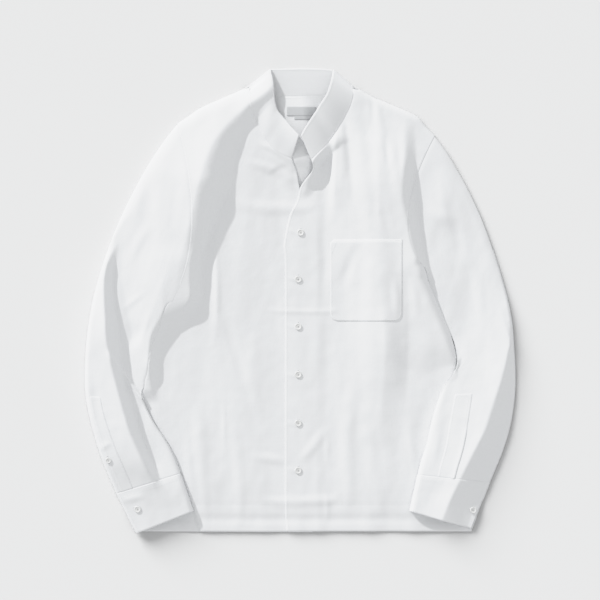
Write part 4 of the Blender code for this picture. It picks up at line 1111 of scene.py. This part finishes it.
def collar_strip():
    """Seam and upper edge of the collar along its length. The last column is its belly."""
    def front(side):
        """The half that stands up in front, from its end to the side."""
        seam = curve(NECK_SEAM[side], COLLAR_COUNT)
        edge = curve(COLLAR_EDGE[side], COLLAR_COUNT)
        t = np.linspace(0.0, 1.0, COLLAR_COUNT)
        low = front_top(seam[:, 0], seam[:, 1]) - CLOTH / 2
        turned = BAND / 2 + 2 * COLLAR_TURN
        settle = smooth((1.0 - t) / COLLAR_SETTLE)
        low = np.maximum(turned + (low - turned) * settle, turned)
        belly = COLLAR_BELLY[side] * np.sin(math.pi * t) ** 2
        return np.c_[seam, low, belly], np.c_[edge, belly]

    def turn(seam, edge):
        """The folded side, from its upper layer round to its lower one."""
        run = edge - seam
        outward = np.array([-run[1], run[0]]) / np.hypot(*run)
        if np.dot(outward, seam) < 0:
            outward = -outward
        pairs = []
        for angle in np.radians(np.arange(75, -76, -15)):
            push = outward * COLLAR_TURN * (math.cos(angle) - 1.0)
            z = BAND / 2 + COLLAR_TURN * (1 + math.sin(angle))
            pairs.append((np.r_[seam + push, z, 0.0], np.r_[edge + push, z, 0.0]))
        return pairs

    right, left = front("right"), front("left")
    back_seam, back_edge = curve(BACK_SEAM, BACK_COUNT), curve(BACK_EDGE, BACK_COUNT)
    flat = np.tile((BAND / 2, 0.0), (BACK_COUNT, 1))
    stations = list(zip(*right))[:-1]
    stations += turn(back_seam[0], back_edge[0])
    stations += list(zip(np.c_[back_seam, flat], np.c_[back_edge, flat]))[1:-1]
    stations += turn(back_seam[-1], back_edge[-1])[::-1]
    stations += list(zip(*left))[:-1][::-1]
    return np.array([s for s, _ in stations]), np.array([e for _, e in stations])


seam, edge = collar_strip()
t = np.linspace(0.0, 1.0, COLLAR_COLUMNS)[None, :, None]
middle = seam[:, None] * (1 - t) + edge[:, None] * t
middle[..., 2] += middle[..., 3] * 4 * (t * (1 - t))[..., 0]
ridge = fold(middle[..., 0], middle[..., 1], COLLAR_RIDGE)
middle[..., 2] += (ridge - ridge[:, :1] * (1 - t[..., 0])) * smooth((middle[..., 2] - 3.0) / 3.0)
middle = middle[..., :3]
# the seam allowance goes outwards, under the neck edge of the fronts
outwards = unit((seam - edge)[:, :2])
on_front = np.zeros(len(seam))
on_front[-COLLAR_COUNT:] = smooth(np.arange(COLLAR_COUNT) / 8)
on_front[:COLLAR_COUNT] = on_front[:-COLLAR_COUNT - 1:-1]
allowance = []
for reach, drop in ((5.0, 3.0), (2.5, 2.0)):
    row = seam[:, :3].copy()
    row[:, :2] += outwards * reach * on_front[:, None] * 0.999 + outwards * 0.001 * reach
    row[:, 2] -= drop * on_front
    allowance.append(row)
middle = np.concatenate([np.stack(allowance, axis=1), middle], axis=1)
run, rise = np.gradient(middle, axis=(0, 1))
normal = unit(np.cross(run, rise))
collar = panel("collar_band", body_linen, middle + normal * BAND / 2, middle - normal * BAND / 2)
for face in (1.0, -1.0):
    for column in (3, -2):
        row = (middle + face * normal * (BAND / 2 + COLLAR_LIFT))[2:-2, column]
        row[:, 2] = np.maximum(row[:, 2], 0.4)
        sew(row, 0.0)


def back_top(x, y):
    return CLOTH + back_rise(x, y)


sew_on([(x, y - EDGE_STITCH) for x, y in BACK_SEAM[2:-1]], back_top)
dress(collar, "collar")

# --- Pocket ------------------------------------------------------------------------------
# A patch of linen, 119 x 134 mm, with its top hemmed and its other edges turned in. It is
# sewn to the left front on three sides, with a slanting row of stitches at each top corner.

POCKET_LEFT, POCKET_RIGHT = 50.0, 168.0
POCKET_TOP, POCKET_BOTTOM = 100.0, -34.0
POCKET_NOTCH = 6.0      # how far the top corner at the placket is cut off
POCKET_CORNER = 13.0    # radius of the lower corners
POCKET_PROUD = 0.7      # how far it stands off the front
POCKET_STITCH = 2.2     # from its edge to its row of stitches
depth = np.r_[0.0, POCKET_NOTCH, np.linspace(9.0, 134.0, 50)]
y = POCKET_TOP - depth
drop = np.clip(POCKET_CORNER - (y - POCKET_BOTTOM), 0.0, POCKET_CORNER)
corner = POCKET_CORNER - np.sqrt(POCKET_CORNER ** 2 - drop ** 2)
notch = np.clip(POCKET_NOTCH - depth, 0.0, None)
left = np.stack([POCKET_LEFT + 0.9 * corner + notch, y], 1)
right = np.stack([POCKET_RIGHT - 0.9 * corner, y], 1)
plan = between(left, right, np.linspace(0, 1, 48))
low = raised(plan, left_front_top)
pocket = panel("pocket_patch", body_linen, low + [0.0, 0.0, POCKET_PROUD], low - [0.0, 0.0, 0.3])
dress(pocket, "pocket")


def pocket_top(x, y):
    return left_front_top(x, y) + POCKET_PROUD


first, last = POCKET_LEFT + POCKET_STITCH, POCKET_RIGHT - POCKET_STITCH
base, bend = POCKET_BOTTOM + POCKET_STITCH, POCKET_CORNER - POCKET_STITCH
y = POCKET_TOP
for line in (((first, y - 8), (first, 30), (first, base + bend)),
             ((first, base + bend), (first + 3, base + 3), (first + bend, base)),
             ((first + bend, base), (110, base), (last - bend, base)),
             ((last - bend, base), (last - 3, base + 3), (last, base + bend)),
             ((last, base + bend), (last, 30), (last, y - 1)),
             ((last, y - 1), (last - 4, y - 1), (last - 8, y - 1)),
             ((last - 8, y - 1), (last - 4, y - 12), (last, y - 24)),
             ((first, y - 24), (first + 4, y - 14), (first + 8, y - 4))):
    sew_on(line, pocket_top, 60)

# --- Label and size tab ------------------------------------------------------------------
# Plain grey satin ribbon with fine ribs. The label is sewn inside the back neck, and the
# size tab is a small loop of the same ribbon, caught under the label's lower edge.

RIBBON = 0.9            # wall
satin, tree, surface = shader("satin_ribbon", (0.60, 0.61, 0.62), 0.5)
at = node(tree, "ShaderNodeAttribute", attribute_name="cloth")
ribs = node(tree, "ShaderNodeTexWave", {"Vector": at.outputs["Vector"], "Scale": 900.0,
                                       "Distortion": 0.4})
bump = node(tree, "ShaderNodeBump", {"Height": ribs.outputs["Fac"], "Strength": 0.3,
                                     "Distance": 0.0001})
tree.links.new(bump.outputs["Normal"], surface.inputs["Normal"])
for name, cad_node, corners, width in (
        ("neck_label", "label", ((-21, 319), (26, 319), (26, 304), (-21, 304)), 24),
        ("neck_tab", "size_tab", ((-9, 303.4), (20, 303.4), (20, 298), (-9, 298)), 14)):
    a, b, c, d = np.array(corners, float)
    down = np.linspace(0.0, 1.0, 10)[:, None]
    plan = between(a * (1 - down) + d * down, b * (1 - down) + c * down,
                   np.linspace(0.0, 1.0, width))
    low = raised(plan, back_top)
    ribbon = panel(name, satin, low + [0.0, 0.0, RIBBON], low)
    dress(ribbon, cad_node, slot="satin")

# --- Buttons -----------------------------------------------------------------------------
# Turned buttons of white shell-like resin, 11 mm across, with a raised rim and four holes; the
# holes are thin dark discs, painted shade.
# Six close the front and one each cuff, and a smaller one closes the right sleeve's placket.

shell, _ = mottled("shell_resin", (0.86, 0.86, 0.85), 0.25, 180.0,
                   (0.78, 0.78, 0.77), (0.90, 0.90, 0.90))
# The holes are not cut through: each is a thin dark grey disc, painted shade for the hollow of
# the hole.
hole_shade, _ = mottled("button_holes", (0.3,) * 3, 0.8, 900.0, (0.22,) * 3, (0.38,) * 3)
BUTTON_RADIUS = 5.6
SMALL_BUTTON_RADIUS = 4.6
BUTTON_FLOOR = 1.512    # height of the dished middle, with the holes and the thread
BUTTON_PROFILE = (      # share of the radius, and height
    (0.0, 0.0), (0.62, 0.0), (0.94, 0.5), (1.0, 1.1), (0.99, 1.6), (0.95, 2.04), (0.89, 2.304),
    (0.82, 2.4), (0.74, 2.232), (0.64, 1.728), (0.5, 1.536), (0.0, 1.488),
)
HOLE_SHARE = 0.11       # radius of a hole, and the places of the four, over the button's radius
HOLE_PITCH = 1.35 * HOLE_SHARE
THREAD_RADIUS = 0.3


def make_button(name, cad_node, place, radius, top_of):
    """A raised rim round a dished middle with four holes painted as dark discs of shade, seated
    along the cloth's normal.
    """
    x, y = place
    step = radius / 2
    sx = np.array([x, x - step, x + step, x, x], float)
    sy = np.array([y, y, y, y - step, y + step], float)
    z = top_of(sx, sy)
    normal = Vector((-(z[2] - z[1]) / (2 * step), -(z[4] - z[3]) / (2 * step), 1.0)).normalized()
    hollow = max(0.0, (z[1] + z[2]) / 2 - z[0], (z[3] + z[4]) / 2 - z[0])
    work = bmesh.new()
    points = [work.verts.new((r * radius * MM, 0.0, h * MM)) for r, h in BUTTON_PROFILE]
    for a, b in zip(points, points[1:]):
        work.edges.new((a, b))
    bmesh.ops.spin(work, geom=work.verts[:] + work.edges[:], axis=(0, 0, 1), cent=(0, 0, 0),
                   angle=2 * math.pi, steps=40)
    bmesh.ops.remove_doubles(work, verts=work.verts, dist=0.00001)
    bmesh.ops.recalc_face_normals(work, faces=work.faces)
    middle, hole = BUTTON_FLOOR * MM, HOLE_SHARE * radius * MM
    pitch = HOLE_PITCH * radius * MM
    # each hole is a thin disc in the painted-shade material
    for dx, dy in ((-1, -1), (1, -1), (-1, 1), (1, 1)):
        spot = Matrix.Translation((dx * pitch, dy * pitch, middle))
        first_face = len(work.faces)
        bmesh.ops.create_cone(work, cap_ends=True, segments=10, radius1=hole, radius2=hole,
                              depth=0.1 * MM, matrix=spot)
        work.faces.ensure_lookup_table()
        for face in work.faces[first_face:]:
            face.material_index = 1
    for dy in (-1, 1):
        bar = (Matrix.Translation((0, dy * pitch, middle + 0.25 * MM))
               @ Matrix.Rotation(math.pi / 2, 4, "Y"))
        bmesh.ops.create_cone(work, cap_ends=True, segments=6, radius1=THREAD_RADIUS * MM,
                              radius2=THREAD_RADIUS * MM, depth=3.4 * hole, matrix=bar)
    turn = Vector((0, 0, 1)).rotation_difference(normal).to_matrix().to_4x4()
    seat = (Vector((x, y, z[0])) + normal * hollow) * MM
    bmesh.ops.transform(work, matrix=Matrix.Translation(seat) @ turn, verts=work.verts)
    mesh = bpy.data.meshes.new(name)
    work.to_mesh(mesh)
    work.free()
    mesh.shade_smooth()
    dress(placed(name, mesh, shell, hole_shade), cad_node, slot="shell")


def sleeve_top(side, wall):
    """A function for the height of what is laid on a sleeve or a cuff."""
    def top_of(x, y):
        floor_z = sleeve_floor(x, y, side, 1.0)
        return floor_z + wall + sleeve_relief(x, y, side, 1.0, floor_z)

    return top_of


FRONT_BUTTONS = ((1, 112), (-3, 35), (-3, -43), (-3, -122), (-3, -202), (-3, -280))
CUFF_BUTTONS = {"right": (-267, -343), "left": (285, -345)}
PLACKET_BUTTON = (-314, -262)
cuff_top = {side: sleeve_top(side, 2 * BAND + GAP + CUFF_STEP) for side in CUFF_BUTTONS}
placket_top = sleeve_top("right", FRONT_TOP + 0.5)
for number, place in enumerate(FRONT_BUTTONS, start=1):
    make_button("front_button_%d" % number, "button_%d" % number, place, BUTTON_RADIUS,
                left_front_top)
for side, place in CUFF_BUTTONS.items():
    make_button("cuff_%s_button" % side, "cuff_button_" + side, place, BUTTON_RADIUS,
                cuff_top[side])
make_button("placket_button", "sleeve_button", PLACKET_BUTTON, SMALL_BUTTON_RADIUS, placket_top)

# --- Stitches ----------------------------------------------------------------------------
# White sewing thread. Lockstitch rows follow the hem, the front edge, the armholes, the
# pocket, the plackets, the cuffs and the collar, and a dense ring binds each buttonhole.

thread, _ = mottled("sewing_thread", (0.90,) * 3, 0.7, 700.0, (0.82, 0.83, 0.84), (0.93,) * 3)


def stitching():
    """Node tree that lays short threads, one after the other, along each polyline."""
    tree = bpy.data.node_groups.new("stitching", "GeometryNodeTree")
    for name, kind in (("Rows", "Geometry"), ("Pitch", "Float"), ("Length", "Float"),
                       ("Radius", "Float"), ("Thread", "Material")):
        tree.interface.new_socket(name, in_out="INPUT", socket_type="NodeSocket" + kind)
    tree.interface.new_socket("Stitches", in_out="OUTPUT", socket_type="NodeSocketGeometry")
    given, made = tree.nodes.new("NodeGroupInput"), tree.nodes.new("NodeGroupOutput")
    path = node(tree, "GeometryNodeMeshToCurve", {"Mesh": given.outputs["Rows"]})
    spaced = node(tree, "GeometryNodeResampleCurve", {
        "Curve": path.outputs["Curve"], "Length": given.outputs["Pitch"]}, mode="LENGTH")
    tangent = node(tree, "GeometryNodeInputTangent")
    turned = node(tree, "FunctionNodeAlignRotationToVector",
                  {"Vector": tangent.outputs["Tangent"]}, axis="Z")
    stitch = node(tree, "GeometryNodeMeshCylinder", {
        "Vertices": 5, "Radius": given.outputs["Radius"], "Depth": given.outputs["Length"]})
    laid = node(tree, "GeometryNodeInstanceOnPoints", {
        "Points": spaced.outputs["Curve"], "Instance": stitch.outputs["Mesh"],
        "Rotation": turned.outputs["Rotation"]})
    real = node(tree, "GeometryNodeRealizeInstances", {"Geometry": laid.outputs["Instances"]})
    painted = node(tree, "GeometryNodeSetMaterial", {
        "Geometry": real.outputs["Geometry"], "Material": given.outputs["Thread"]})
    tree.links.new(painted.outputs["Geometry"], made.inputs["Stitches"])
    return tree


stitch_tree = stitching()


def stitch_mesh(name, rows, **sizes):
    """The stitches of these rows as one plain mesh."""
    points, edges = [], []
    for row in rows:
        start = len(points)
        points += [tuple(p) for p in row * MM]
        edges += [(start + i, start + i + 1) for i in range(len(row) - 1)]
    guide_mesh = bpy.data.meshes.new(name + "_guide")
    guide_mesh.from_pydata(points, edges, [])
    guide = placed(name + "_guide", guide_mesh)
    laying = guide.modifiers.new("stitching", "NODES")
    laying.node_group = stitch_tree
    for item in stitch_tree.interface.items_tree:
        if item.name in sizes:
            laying[item.identifier] = sizes[item.name]
    graph = bpy.context.evaluated_depsgraph_get()
    mesh = bpy.data.meshes.new_from_object(guide.evaluated_get(graph))
    bpy.data.objects.remove(guide)
    mesh.name = name
    made = placed(name, mesh)
    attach(made, "root")


BUTTONHOLE = 15.0       # length, and the width of its ring of stitches
BUTTONHOLE_WIDTH = 2.0


def buttonhole(place, direction, top_of):
    """An oval ring of stitches round the slit that the button is pushed through."""
    angle = np.linspace(0.0, 2 * math.pi, 49)
    along = np.cos(angle) * BUTTONHOLE / 2
    across = np.clip(np.sin(angle) * 2.0, -1.0, 1.0) * BUTTONHOLE_WIDTH / 2
    dx, dy = direction
    x = place[0] + along * dx - across * dy
    y = place[1] + along * dy + across * dx
    return np.c_[x, y, top_of(x, y) + 0.1]


stitch_mesh("stitches", stitch_rows, Pitch=0.0031, Length=0.0024, Radius=0.00019, Thread=thread)
holes = [buttonhole(place, (0.0, 1.0), left_front_top) for place in FRONT_BUTTONS]
for side, direction in (("right", (0.9, -0.44)), ("left", (0.97, -0.25))):
    holes.append(buttonhole(CUFF_BUTTONS[side], direction, cuff_top[side]))
holes.append(buttonhole(PLACKET_BUTTON, (0.35, -0.94), placket_top))
stitch_mesh("buttonhole_stitches", holes, Pitch=0.0008, Length=0.0007, Radius=0.00035,
            Thread=thread)
